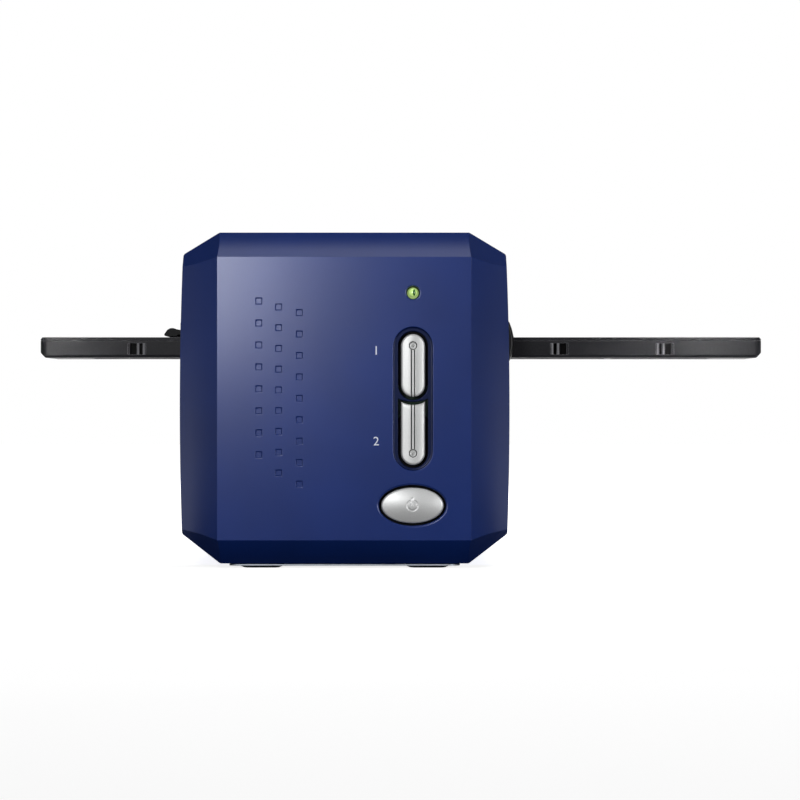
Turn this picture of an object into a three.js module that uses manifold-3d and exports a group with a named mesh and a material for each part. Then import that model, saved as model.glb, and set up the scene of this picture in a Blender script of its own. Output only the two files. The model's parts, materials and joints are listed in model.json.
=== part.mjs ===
// Film negative scanner with its film holder run in, ready to scan the third frame.
// Millimetres, +Z up, front towards -Y. The origin is on the floor, under the middle of the holder.

import * as THREE from "three";
import { mergeVertices } from "three/addons/utils/BufferGeometryUtils.js";
import Module from "manifold-3d";

const wasm = await Module();
wasm.setup();

// Shared clearances and facets
const gap = 0.3;
const overrun = 2;
const weld = 0.0001;
const facets = { fine: 14, medium: 9, coarse: 6 };

// Housing: an eight-sided tube with slightly crowned sides
const body = {
  centreX: -20,
  depth: 270,
  crownWidth: 117.4,
  height: 119,
  underside: 1.6,
  wall: 2.4,
  hipInset: 0.8,
  shoulderInset: 1.2,
  topCut: { width: 13.2, height: 7.5 },
  bottomCut: { width: 13.8, height: 10.3 },
  sideSteps: 6,
  partingZ: 40,
};
const frontY = -body.depth / 2;
const rearY = body.depth / 2;
const crownX = body.crownWidth / 2;
const hipX = crownX - body.hipInset;
const shoulderX = crownX - body.shoulderInset;
const sideBulge = (body.hipInset + body.shoulderInset) / 2;
const hipZ = body.underside + body.bottomCut.height;
const shoulderZ = body.height - body.topCut.height;
const floorZ = body.underside + body.wall;

// Front face and the bevels around it
const face = {
  sideMargin: 13.9,
  topMargin: 8.9,
  bottomMargin: 8.5,
  topDepth: 8.5,
  bottomDepth: 8.5,
  sideDepth: 12.5,
  upperFacetDrop: 4.4,
  lowerFacetRise: 1.7,
  panelDepth: 22,
};
const faceX = crownX - face.sideMargin;
const faceTopZ = body.height - face.topMargin;
const faceBottomZ = body.underside + face.bottomMargin;
const frontJointY = frontY + face.panelDepth;

// Rear panel
const rear = {
  panelDepth: 3.7,
  edgeStep: 0.8,
  proud: 1,
  usb: { x: -26, z: 56, width: 12, height: 10.9, shell: 1.7, mouthDepth: 9, tongue: [5.6, 3.2] },
  power: { x: -4, z: 56, width: 11, height: 11, boreRadius: 3.2, boreDepth: 9.5, pinRadius: 1 },
  lock: { x: 30, z: 58, width: 7, height: 3 },
};
const rearJointY = rearY - rear.panelDepth;

// Film holder: its length is along X
const holder = {
  length: 260,
  width: 56,
  thickness: 7.4,
  midZ: 78.5,
  fromFront: 60,
  cornerRadius: 2,
  lidPlate: 0.9,
  edgeChamfer: 0.9,
  endChamfer: 1.9,
  deck: 3.5,
  frameWall: 3.5,
  endWall: 10,
  framePitch: 38,
  frameCount: 6,
  window: { length: 36, width: 24 },
  lidReach: 2.4,
};
const holderY = frontY + holder.fromFront;
const holderLowZ = holder.midZ - holder.thickness / 2;
const holderTopZ = holder.midZ + holder.thickness / 2;
const holderHalf = holder.width / 2;
const lidLowZ = holderTopZ - holder.lidPlate;
const trayTopZ = lidLowZ - gap;

// Frame stations in the holder's front edge, counted outwards from each frame's middle
const station = {
  lowMargin: 1.2,
  height: 4.1,
  slotStart: -1.9,
  slotWidth: 1,
  recessStart: 0.2,
  recessWidth: 2.1,
  rampWidth: 1,
  slotDepth: 1.2,
  recessDepth: 1.9,
};

// Lid hinge of the holder
const lidHinge = {
  pinRadius: 0.6,
  fromRear: 1.7,
  belowLid: 1.3,
  knuckle: { length: 10, depth: 2.9, drop: 2.5 },
  knuckleCount: 4,
  knucklePitch: 60,
  pinOverhang: 6,
};

// Gate: where one frame lies over the mirror
const gate = { x: 1, length: 38, width: 26 };

// Film channel
const channel = {
  endMargin: 2,
  rightTrim: 9.5,
  plate: 2.5,
  cover: 2.2,
  railWidth: 3.7,
  railLift: 0.1,
};
const channelTopZ = holderLowZ - gap;
const channelLowZ = channelTopZ - channel.plate;
const railTopZ = holderTopZ + channel.railLift;
const coverLowZ = railTopZ + gap;
const coverTopZ = coverLowZ + channel.cover;
const railInner = holderHalf + gap;
const railOuter = railInner + channel.railWidth;

// Slot bezels in both sides of the housing
const bezel = {
  lowDrop: 1.9,
  highRise: 6.1,
  inner: 3.7,
  leftProud: 0.7,
  rightProud: 2.1,
  lipStep: 1,
  leftMouthRise: 4.4,
};
const bezelLowZ = holderLowZ - bezel.lowDrop;
const bezelTopZ = holderTopZ + bezel.highRise;
const bezelInnerX = crownX - bezel.inner;
const bezelHalf = railOuter;
const channelHalf = bezelInnerX - channel.endMargin;

// Dust doors, hinged above the holder
const door = {
  sideMargin: 0.1,
  barrelRadius: 1.5,
  pinRadius: 0.8,
  pinReach: 3,
  earLength: 2.8,
  earDepth: 3.6,
  left: { axisInset: 2.2, axisRise: 2.4, reach: 8.8 },
  right: { axisGap: 0.3, axisRise: 3.1, reach: 8.7, thickness: 1.5 },
};
const doorHalf = holderHalf + door.sideMargin;
const doorMouthHalf = doorHalf + gap;

// Two scan buttons, one above the other, and the power button
const button = {
  x: 24.3,
  halfWidth: 4.4,
  upper: [60.5, 83],
  lower: [36.5, 59.2],
  dip: 1.1,
  slit: 0.6,
  proud: 1,
  edgeRound: 0.7,
  travel: 1,
  flange: 1.2,
  flangeMargin: 1.6,
  stemRadius: 1.6,
  stemLength: 3.5,
  recess: { margin: 2.55, highMargin: 2.4, lowMargin: 1.8, depth: 0.6 },
};
const power = { x: 24.1, z: 22.4, halfLength: 11, halfHeight: 6.3, edgeRound: 1, flangeMargin: 1.4 };
const wallInnerY = frontY + body.wall;
const flangeFrontY = wallInnerY + gap;
const flangeRearY = flangeFrontY + button.flange;
const stemEndY = flangeRearY + button.stemLength;

// Switches on the button board
const keySwitch = { size: 6, depth: 3.5, plungerRadius: 1.5, plungerLength: 2.7, stroke: 1.3 };
const board = { thickness: 1.6, halfWidth: 11.5, lowMargin: 8, highMargin: 4.5 };
const plungerFrontY = stemEndY + gap;
const switchFrontY = plungerFrontY + button.travel + gap;
const boardFrontY = switchFrontY + keySwitch.depth + gap;
const boardRearY = boardFrontY + board.thickness;
const led = { x: 24.3, z: 97.5, radius: 1.6, holeRadius: 2.35, flangeRadius: 2, flange: 3.5, proud: 0.7 };
const boardPost = { radius: 2, spread: 9.2, lowZ: 33.5, highZ: 89.5 };
const boardScrew = { headRadius: 1.9, head: 1.2, shankRadius: 0.8, holeRadius: 1.1, shank: 5 };

// Pattern of small square dimples, three columns of them
const dimple = {
  size: 2.4,
  depth: 0.5,
  columns: [
    { x: -30.1, topZ: 94.5, pitch: 7.75, count: 8 },
    { x: -23.1, topZ: 92.4, pitch: 7.32, count: 9 },
    { x: -15.8, topZ: 90.4, pitch: 7.56, count: 9 },
  ],
};

// Underside
const base = { sideMargin: 3.1, edgeMargin: 8.8, cornerRadius: 4, sheet: 0.5, lift: 0.8 };
const baseHalf = hipX - body.bottomCut.width - base.sideMargin;
const foot = { halfLength: 7.8, halfDepth: 7, taper: 1.8, x: 29.5, fromEnd: 17 };
const baseScrew = { x: 40, fromFront: 45, fromRear: 45, bossRadius: 4, headRadius: 2.7, head: 1.1 };
const screwShank = { radius: 1.3, length: 9, hole: 1.6, seat: 1.6, accessMargin: 1 };

// Chassis inside the housing
const chassis = {
  lift: 4.3,
  plate: 1.5,
  front: 24.5,
  rear: 11,
  pillar: 8,
  upright: 3,
  uprightHalf: 42,
  uprightHeight: 26,
  motorSpace: 33,
};
const chassisLowZ = floorZ + chassis.lift;
const slant = body.bottomCut;
const slantWall = (body.wall * Math.hypot(slant.width, slant.height)) / slant.height;
const slantRun = (slant.width * (hipZ - chassisLowZ)) / slant.height;
const chassisHalf = hipX - slantRun - slantWall - gap;
const pillarX = chassisHalf - chassis.pillar / 2;
const deckZ = chassisLowZ + chassis.plate;
const frontUprightY = frontY + chassis.front;
const rearUprightY = rearY - chassis.motorSpace;

// Scan carriage, its two rods and its drive
const rods = { radius: 2.5, spread: 34, rise: 16.2, ends: 0.4 };
const scan = {
  travel: 26,
  halfWidth: 38,
  frontReach: 14,
  rearReach: 150,
  floorRise: 22.2,
  floor: 2.5,
  wall: 2,
  wallHeight: 23.5,
  opticalRise: 36.2,
  lug: { half: 5, length: 14 },
  rearWall: { offset: 146, height: 29, window: [34, 10] },
};
const homeY = holderY - gate.width / 2;
const rodZ = deckZ + rods.rise;
const carriageZ = deckZ + scan.floorRise;
const carriageTopZ = carriageZ + scan.floor;
const opticalZ = deckZ + scan.opticalRise;
const mirrorSize = { length: 44, width: 20, thickness: 2, wedgeHalf: 23, wedgeReach: 12 };
const lensSize = {
  start: 55,
  length: 30,
  radius: 11,
  bore: 7,
  seatRadius: 9.8,
  seatDepth: 6,
  glassRadius: 9.5,
  glassEdge: 2,
  glassCrown: 1.6,
  cradleHalf: 14,
};
const sensorBoard = { halfWidth: 24, lowMargin: 0.8, height: 27, chip: [32, 8, 3] };
const drive = {
  screwRadius: 2.5,
  rise: 13.2,
  motorRadius: 12,
  motorLength: 16,
  motorBore: 6,
  nut: { half: 6, start: 108, length: 14, below: 5 },
  bearing: { start: 64, length: 6, half: 6, above: 5 },
};
const screwZ = deckZ + drive.rise;
const flag = { x: -20, thickness: 1.2, length: 6, drop: 15, inset: 4 };
const fork = { halfWidth: 5, length: 9, height: 12, slot: 3, base: 4 };

// Lamp over the gate
const lamp = {
  halfLength: 27,
  halfWidth: 21,
  height: 17.5,
  wall: 2,
  diffuser: 2,
  board: 1.7,
  chip: { size: 3, height: 1, count: 5, pitch: 8 },
};
const lampLowZ = coverTopZ + gap;

// Main board behind the carriage
const mainBoard = { fromRear: 21, sideMargin: 12.7, lowZ: 40, highZ: 104, postRadius: 3, postMargin: 6 };
const mainBoardY = rearY - mainBoard.fromRear;
const mainBoardRearY = mainBoardY + board.thickness;
const mainBoardHalf = crownX - mainBoard.sideMargin;
const rearScrew = { sideMargin: 8.7, z: 62, headRadius: 2.6, head: 1.4, shank: 8, post: 3.2, sink: 1.6 };
const rearScrewX = crownX - rearScrew.sideMargin;
const ribbon = { halfWidth: 8, thickness: 0.4, steps: 14, startRise: 6, endZ: 66, sag: 9 };

// Spring that drops into the holder's frame stations
const detent = {
  thickness: 0.4,
  halfLength: 14,
  bumpHalf: 3.1,
  reachIn: 0.6,
  height: 2,
  rise: 2.5,
  windowHalf: 7,
  windowHeight: 3.5,
};

const paint = new THREE.MeshStandardMaterial({ color: 0x1f2c63, roughness: 0.42, metalness: 0.35 });
const silver = new THREE.MeshStandardMaterial({ color: 0xc9cacb, roughness: 0.35, metalness: 0.7 });
const darkPlastic = new THREE.MeshStandardMaterial({ color: 0x3a3a3d, roughness: 0.55, metalness: 0 });
const blackPlastic = new THREE.MeshStandardMaterial({ color: 0x1b1c1f, roughness: 0.5, metalness: 0 });
const paleBase = new THREE.MeshStandardMaterial({ color: 0xb4bac4, roughness: 0.5, metalness: 0.2 });
const rubber = new THREE.MeshStandardMaterial({ color: 0x2c2c2f, roughness: 0.85, metalness: 0 });
const steel = new THREE.MeshStandardMaterial({ color: 0xa7a9ad, roughness: 0.3, metalness: 1 });
const circuit = new THREE.MeshStandardMaterial({ color: 0x1f5a38, roughness: 0.5, metalness: 0 });
const cream = new THREE.MeshStandardMaterial({ color: 0xd9d6cb, roughness: 0.6, metalness: 0 });
const greenLens = new THREE.MeshStandardMaterial({ color: 0x7fc241, roughness: 0.2, metalness: 0 });
const opal = new THREE.MeshStandardMaterial({ color: 0xf2f2ee, roughness: 0.6, metalness: 0 });
const mirrorFinish = new THREE.MeshStandardMaterial({ color: 0xe6e9ec, roughness: 0.05, metalness: 1 });
const glass = new THREE.MeshStandardMaterial({ color: 0xcfe0e4, roughness: 0.05, metalness: 0 });

// Where a drawing's own right, up and outward directions point in the part
const drawingPlanes = {
  x: [new THREE.Vector3(0, 1, 0), new THREE.Vector3(0, 0, 1), new THREE.Vector3(1, 0, 0)],
  y: [new THREE.Vector3(1, 0, 0), new THREE.Vector3(0, 0, 1), new THREE.Vector3(0, -1, 0)],
  z: [new THREE.Vector3(1, 0, 0), new THREE.Vector3(0, 1, 0), new THREE.Vector3(0, 0, 1)],
};

function solidOf(geometry) {
  const bare = geometry.clone();
  bare.deleteAttribute("normal");
  bare.deleteAttribute("uv");
  const merged = mergeVertices(bare);
  return new wasm.Manifold(
    new wasm.Mesh({
      numProp: 3,
      vertProperties: new Float32Array(merged.attributes.position.array),
      triVerts: new Uint32Array(merged.index.array),
    }),
  );
}

function piece(name, solid, material) {
  const { vertProperties, triVerts } = solid.getMesh();
  const geometry = new THREE.BufferGeometry();
  geometry.setAttribute("position", new THREE.BufferAttribute(vertProperties, 3));
  geometry.setIndex(new THREE.BufferAttribute(triVerts, 1));
  geometry.computeVertexNormals();
  const mesh = new THREE.Mesh(geometry, material);
  mesh.name = name;
  return mesh;
}

function block([x0, x1], [y0, y1], [z0, z1]) {
  const box = new THREE.BoxGeometry(x1 - x0, y1 - y0, z1 - z0);
  box.translate((x0 + x1) / 2, (y0 + y1) / 2, (z0 + z1) / 2);
  return solidOf(box);
}

function shapeOf(points) {
  return new THREE.Shape(points.map(([u, v]) => new THREE.Vector2(u, v)));
}

// The corners of a drawing, each of them once
function cornersOf(shape, steps) {
  const points = shape.getPoints(steps);
  return points.filter((point, index) => point.distanceTo(points[(index + 1) % points.length]) > weld);
}

// A drawing pushed out along one axis, with both its edges rounded off where edge is given
function prism(axis, shape, [low, high], steps = facets.medium, edge = 0) {
  const options = { depth: high - low - 2 * edge, bevelEnabled: edge > 0 };
  if (edge > 0) {
    Object.assign(options, { bevelThickness: edge, bevelSize: edge, bevelOffset: -edge, bevelSegments: 2 });
  }
  const geometry = new THREE.ExtrudeGeometry(new THREE.Shape(cornersOf(shape, steps)), options);
  geometry.translate(0, 0, edge);
  geometry.applyMatrix4(new THREE.Matrix4().makeBasis(...drawingPlanes[axis]));
  const start = { x: [low, 0, 0], y: [0, high, 0], z: [0, 0, low] }[axis];
  geometry.translate(...start);
  return solidOf(geometry);
}

function circle(u, v, radius) {
  const shape = new THREE.Shape();
  shape.absarc(u, v, radius, 0, 2 * Math.PI, false);
  return shape;
}

function rod(axis, [u, v], radius, span, steps = facets.medium) {
  return prism(axis, circle(u, v, radius), span, steps);
}

function oval(u, v, halfLength, halfHeight) {
  const shape = new THREE.Shape();
  shape.absellipse(u, v, halfLength, halfHeight, 0, 2 * Math.PI, false, 0);
  return shape;
}

function racetrack(u, [low, high], radius) {
  const shape = new THREE.Shape();
  shape.absarc(u, high - radius, radius, 0, Math.PI, false);
  shape.absarc(u, low + radius, radius, Math.PI, 2 * Math.PI, false);
  shape.closePath();
  return shape;
}

// A drawing with a round lower end and a flat upper one
function halfRacetrack(u, [low, high], radius) {
  const shape = new THREE.Shape();
  shape.moveTo(u - radius, high);
  shape.lineTo(u - radius, low + radius);
  shape.absarc(u, low + radius, radius, Math.PI, 2 * Math.PI, false);
  shape.lineTo(u + radius, high);
  return shape;
}

// What hollows the upper end of the lower button, so that it follows the button above it
function dipCutter(u, high, radius, dip, span) {
  const arcRadius = (radius * radius + dip * dip) / (2 * dip);
  return rod("y", [u, high + arcRadius - dip], arcRadius, span, 2 * facets.fine);
}

function roundedRectangle([x0, x1], [y0, y1], radius) {
  const shape = new THREE.Shape();
  shape.absarc(x1 - radius, y0 + radius, radius, -Math.PI / 2, 0, false);
  shape.absarc(x1 - radius, y1 - radius, radius, 0, Math.PI / 2, false);
  shape.absarc(x0 + radius, y1 - radius, radius, Math.PI / 2, Math.PI, false);
  shape.absarc(x0 + radius, y0 + radius, radius, Math.PI, (3 * Math.PI) / 2, false);
  shape.closePath();
  return shape;
}

function around(middle, half) {
  return [middle - half, middle + half];
}

// Half-width of the crowned side at a height
function sideAt(z) {
  const t = (z - hipZ) / (shoulderZ - hipZ);
  return THREE.MathUtils.lerp(hipX, shoulderX, t) + sideBulge * 4 * t * (1 - t);
}

function housingOutline() {
  const right = [[hipX - body.bottomCut.width, body.underside]];
  for (let step = 0; step <= body.sideSteps; step += 1) {
    const z = THREE.MathUtils.lerp(hipZ, shoulderZ, step / body.sideSteps);
    right.push([sideAt(z), z]);
  }
  right.push([shoulderX - body.topCut.width, body.height]);
  const left = right.map(([x, z]) => [-x, z]).reverse();
  return [...right, ...left];
}

// Moves each edge of a convex outline inwards
function inset(points, distance) {
  const edges = points.map((from, index) => {
    const to = points[(index + 1) % points.length];
    const length = Math.hypot(to[0] - from[0], to[1] - from[1]);
    const direction = [(to[0] - from[0]) / length, (to[1] - from[1]) / length];
    return { at: [from[0] - direction[1] * distance, from[1] + direction[0] * distance], direction };
  });
  return edges.map((edge, index) => {
    const before = edges[(index + edges.length - 1) % edges.length];
    const cross = before.direction[0] * edge.direction[1] - before.direction[1] * edge.direction[0];
    const apart = [edge.at[0] - before.at[0], edge.at[1] - before.at[1]];
    const along = (apart[0] * edge.direction[1] - apart[1] * edge.direction[0]) / cross;
    return [before.at[0] + before.direction[0] * along, before.at[1] + before.direction[1] * along];
  });
}

// Everything outside a flat plane through three points, moved inwards by a wall
function beyond(a, b, c, wall) {
  const normal = new THREE.Triangle(a, b, c).getNormal(new THREE.Vector3());
  const outward = normal.y > 0 ? normal.negate() : normal;
  const side = 2 * body.depth;
  const box = new THREE.BoxGeometry(side, side, side);
  box.translate(0, 0, side / 2);
  box.applyQuaternion(new THREE.Quaternion().setFromUnitVectors(new THREE.Vector3(0, 0, 1), outward));
  const start = a.clone().addScaledVector(outward, -wall);
  box.translate(start.x, start.y, start.z);
  return solidOf(box);
}

function bevelDepthAt(x) {
  return (face.sideDepth * (x - faceX)) / (shoulderX - faceX);
}

// The housing's front end, bevelled on four sides and at four corners
function bevelledEnd(wall, backY) {
  let end = prism("y", shapeOf(inset(housingOutline(), wall)), [frontY + wall, backY]);
  const at = (x, depth, z) => new THREE.Vector3(x, frontY + depth, z);
  const topX = shoulderX - body.topCut.width;
  const bottomX = hipX - body.bottomCut.width;
  const facetTopZ = shoulderZ - face.upperFacetDrop;
  const facetLowZ = hipZ + face.lowerFacetRise;
  const planes = [
    [at(0, 0, faceTopZ), at(faceX, 0, faceTopZ), at(0, face.topDepth, body.height)],
    [at(0, 0, faceBottomZ), at(faceX, 0, faceBottomZ), at(0, face.bottomDepth, body.underside)],
  ];
  for (const hand of [-1, 1]) {
    const upperCorner = at(hand * faceX, 0, faceTopZ);
    const lowerCorner = at(hand * faceX, 0, faceBottomZ);
    const upperSide = at(hand * sideAt(facetTopZ), bevelDepthAt(sideAt(facetTopZ)), facetTopZ);
    const lowerSide = at(hand * sideAt(facetLowZ), bevelDepthAt(sideAt(facetLowZ)), facetLowZ);
    planes.push([upperCorner, lowerCorner, upperSide]);
    planes.push([upperCorner, at(hand * topX, face.topDepth, body.height), upperSide]);
    planes.push([lowerCorner, at(hand * bottomX, face.bottomDepth, body.underside), lowerSide]);
  }
  for (const [a, b, c] of planes) {
    end = end.subtract(beyond(a, b, c, wall));
  }
  return end;
}

function buttonOpenings(span) {
  const { slit, upper, lower, dip } = button;
  const grown = button.halfWidth + slit;
  const lowerEnds = [lower[0] - slit, lower[1] + slit];
  const lowerHole = prism("y", halfRacetrack(button.x, lowerEnds, grown), span);
  return [
    prism("y", racetrack(button.x, [upper[0] - slit, upper[1] + slit], grown), span),
    lowerHole.subtract(dipCutter(button.x, lowerEnds[1], grown, dip, span)),
    prism("y", oval(power.x, power.z, power.halfLength + slit, power.halfHeight + slit), span),
  ];
}

function boardPosts() {
  const sides = around(button.x, boardPost.spread);
  return sides.flatMap((x) => [boardPost.lowZ, boardPost.highZ].map((z) => [x, z]));
}

function frontPanel() {
  let panel = bevelledEnd(0, frontJointY).subtract(bevelledEnd(body.wall, frontJointY + overrun));
  const through = [frontY - overrun, wallInnerY + overrun];
  const recessSpan = [frontY - overrun, frontY + button.recess.depth];
  const recessEnds = [
    button.lower[0] - button.recess.lowMargin,
    button.upper[1] + button.recess.highMargin,
  ];
  const recessRadius = button.halfWidth + button.recess.margin;
  panel = panel.subtract(prism("y", racetrack(button.x, recessEnds, recessRadius), recessSpan));
  for (const opening of buttonOpenings(through)) {
    panel = panel.subtract(opening);
  }
  panel = panel.subtract(rod("y", [led.x, led.z], led.holeRadius, through));
  const dimpleSpan = [frontY - overrun, frontY + dimple.depth];
  for (const column of dimple.columns) {
    for (let row = 0; row < column.count; row += 1) {
      const z = column.topZ - row * column.pitch;
      const pocket = block(around(column.x, dimple.size / 2), dimpleSpan, around(z, dimple.size / 2));
      panel = panel.subtract(pocket);
    }
  }
  for (const centre of boardPosts()) {
    const post = rod("y", centre, boardPost.radius, [frontY + body.wall / 2, boardFrontY - gap]);
    const hole = rod("y", centre, boardScrew.holeRadius, [wallInnerY, boardFrontY]);
    panel = panel.add(post).subtract(hole);
  }
  return piece("front_panel", panel, paint);
}

function slotWindow() {
  const reach = [-crownX - overrun, crownX + overrun];
  return block(reach, around(holderY, bezelHalf + gap), [bezelLowZ - gap, bezelTopZ + gap]);
}

function coverTube() {
  const span = [frontJointY + gap, rearJointY - gap];
  const outer = prism("y", shapeOf(housingOutline()), span);
  const boreOutline = shapeOf(inset(housingOutline(), body.wall));
  const bore = prism("y", boreOutline, [span[0] - overrun, span[1] + overrun]);
  return outer.subtract(bore);
}

const wide = [-body.depth, body.depth];

function topCover() {
  const lowerHalf = block(wide, wide, [-body.height, body.partingZ + gap]);
  return piece("top_cover", coverTube().subtract(lowerHalf).subtract(slotWindow()), paint);
}

function baseScrewPlaces() {
  const rows = [frontY + baseScrew.fromFront, rearY - baseScrew.fromRear];
  return rows.flatMap((y) => [-baseScrew.x, baseScrew.x].map((x) => [x, y]));
}

function bottomCover() {
  const upperHalf = block(wide, wide, [body.partingZ, 2 * body.height]);
  let cover = coverTube().subtract(upperHalf);
  const seatZ = body.underside + screwShank.seat;
  for (const centre of baseScrewPlaces()) {
    const boss = rod("z", centre, baseScrew.bossRadius, [floorZ - body.wall / 2, chassisLowZ - gap]);
    const shankHole = rod("z", centre, screwShank.hole, [body.underside - overrun, chassisLowZ]);
    const headHole = rod("z", centre, baseScrew.headRadius + gap, [body.underside - overrun, seatZ]);
    cover = cover.add(boss).subtract(shankHole).subtract(headHole);
  }
  return piece("bottom_cover", cover, paint);
}

function mainBoardPosts() {
  const half = mainBoardHalf - mainBoard.postMargin;
  const heights = [mainBoard.lowZ + mainBoard.postMargin, mainBoard.highZ - mainBoard.postMargin];
  return heights.flatMap((z) => [-half, half].map((x) => [x, z]));
}

function rearPanel() {
  const outline = housingOutline();
  const stepY = rearY - rear.edgeStep;
  let panel = prism("y", shapeOf(outline), [rearJointY, stepY]);
  panel = panel.add(prism("y", shapeOf(inset(outline, rear.edgeStep)), [rearJointY, rearY]));
  const hollow = shapeOf(inset(outline, 2 * body.wall));
  panel = panel.subtract(prism("y", hollow, [rearJointY - overrun, rearY - body.wall]));
  for (const centre of mainBoardPosts()) {
    panel = panel.add(rod("y", centre, mainBoard.postRadius, [mainBoardRearY + gap, rearY - body.wall / 2]));
  }
  const through = [rearY - 2 * body.wall, rearY + overrun];
  for (const socket of [rear.usb, rear.power]) {
    const hole = block(
      around(socket.x, socket.width / 2 + gap),
      through,
      around(socket.z, socket.height / 2 + gap),
    );
    panel = panel.subtract(hole);
  }
  const { lock } = rear;
  panel = panel.subtract(block(around(lock.x, lock.width / 2), through, around(lock.z, lock.height / 2)));
  for (const x of [-rearScrewX, rearScrewX]) {
    const centre = [x, rearScrew.z];
    panel = panel.add(rod("y", centre, rearScrew.post, [rearJointY, rearY - body.wall / 2]));
    const sink = [rearY - rearScrew.sink, rearY + gap];
    panel = panel.subtract(rod("y", centre, screwShank.hole, [rearJointY - overrun, rearY]));
    panel = panel.subtract(rod("y", centre, rearScrew.headRadius + gap, sink));
  }
  return piece("rear_panel", panel, paint);
}

function rearScrews() {
  return [-rearScrewX, rearScrewX].map((x, index) => {
    const seatY = rearY - rearScrew.sink + gap;
    const head = rod("y", [x, rearScrew.z], rearScrew.headRadius, [seatY, rearY]);
    const shank = rod("y", [x, rearScrew.z], screwShank.radius, [rearY - rearScrew.shank, rearY - gap]);
    return piece(`rear_screw_${index + 1}`, head.add(shank), steel);
  });
}

function footPlaces() {
  const rows = [frontY + foot.fromEnd, rearY - foot.fromEnd];
  return rows.flatMap((y) => [-foot.x, foot.x].map((x) => [x, y]));
}

function basePlate() {
  const outline = roundedRectangle(
    [-baseHalf, baseHalf],
    [frontY + base.edgeMargin, rearY - base.edgeMargin],
    base.cornerRadius,
  );
  let plate = prism("z", outline, [base.lift, base.lift + base.sheet], facets.coarse);
  const through = [base.lift - overrun, base.lift + overrun];
  for (const [x, y] of footPlaces()) {
    const hole = block(around(x, foot.halfLength + gap), around(y, foot.halfDepth + gap), through);
    plate = plate.subtract(hole);
  }
  for (const centre of baseScrewPlaces()) {
    const radius = baseScrew.headRadius + screwShank.accessMargin;
    plate = plate.subtract(rod("z", centre, radius, through));
  }
  return piece("base_plate", plate, paleBase);
}

function taperedOutline(middle, half, top) {
  return shapeOf([
    [middle - half + foot.taper, 0],
    [middle + half - foot.taper, 0],
    [middle + half, base.lift],
    [middle + half, top],
    [middle - half, top],
    [middle - half, base.lift],
  ]);
}

function feet() {
  const top = body.underside - gap;
  return footPlaces().map(([x, y], index) => {
    const seenFromFront = prism("y", taperedOutline(x, foot.halfLength, top), around(y, foot.halfDepth));
    const seenFromSide = prism("x", taperedOutline(y, foot.halfDepth, top), around(x, foot.halfLength));
    return piece(`foot_${index + 1}`, seenFromFront.intersect(seenFromSide), rubber);
  });
}

function baseScrews() {
  const seatZ = body.underside + screwShank.seat - gap;
  return baseScrewPlaces().map((centre, index) => {
    const head = rod("z", centre, baseScrew.headRadius, [seatZ - baseScrew.head, seatZ]);
    const shank = rod("z", centre, screwShank.radius, [seatZ - gap, seatZ + screwShank.length]);
    return piece(`base_screw_${index + 1}`, head.add(shank), steel);
  });
}

function rightDoorAxis() {
  return [bezelInnerX - door.right.axisGap - door.barrelRadius, holderTopZ + door.right.axisRise];
}

function leftDoorAxis() {
  return [-crownX + door.left.axisInset, holderTopZ + door.left.axisRise];
}

function rightBezel() {
  const wallX = sideAt(holder.midZ);
  const swell = wallX + bezel.rightProud;
  const outline = shapeOf([
    [bezelInnerX, bezelLowZ],
    [wallX, bezelLowZ],
    [wallX + bezel.leftProud, bezelLowZ + bezel.lipStep],
    [swell - bezel.leftProud, holderLowZ + bezel.leftProud],
    [swell, holderTopZ],
    [swell - bezel.leftProud, holderTopZ + bezel.highRise / 2],
    [wallX + gap, bezelTopZ],
    [bezelInnerX, bezelTopZ],
  ]);
  const mouth = [channelTopZ, holderTopZ + gap];
  const reach = [bezelInnerX - overrun, swell + overrun];
  let frame = prism("y", outline, around(holderY, bezelHalf));
  frame = frame.subtract(block(reach, around(holderY, railInner), mouth));
  const axis = rightDoorAxis();
  const earLowZ = railTopZ + 2 * gap;
  for (const hand of [-1, 1]) {
    const start = holderY + hand * doorMouthHalf;
    const span = [start, start + hand * door.earLength].sort((a, b) => a - b);
    frame = frame.add(block([bezelInnerX - door.earDepth, bezelInnerX + gap], span, [earLowZ, bezelTopZ]));
  }
  const pinHole = rod("y", axis, door.pinRadius + gap, around(holderY, bezelHalf), facets.coarse);
  return piece("slot_bezel_right", frame.subtract(pinHole), blackPlastic);
}

function leftBezel() {
  const wallX = -sideAt(holder.midZ);
  const proudX = wallX - bezel.leftProud;
  const outline = shapeOf([
    [-bezelInnerX, bezelTopZ],
    [wallX, bezelTopZ],
    [proudX, bezelTopZ - bezel.lipStep],
    [proudX, bezelLowZ + bezel.lipStep],
    [wallX, bezelLowZ],
    [-bezelInnerX, bezelLowZ],
  ]);
  const mouth = [channelTopZ, holderTopZ + bezel.leftMouthRise];
  const reach = [proudX - overrun, -bezelInnerX + overrun];
  let frame = prism("y", outline, around(holderY, bezelHalf));
  frame = frame.subtract(block(reach, around(holderY, doorMouthHalf), mouth));
  const pinSpan = around(holderY, doorHalf + door.pinReach + gap);
  const pinHole = rod("y", leftDoorAxis(), door.pinRadius + gap, pinSpan, facets.coarse);
  return piece("slot_bezel_left", frame.subtract(pinHole), blackPlastic);
}

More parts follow.
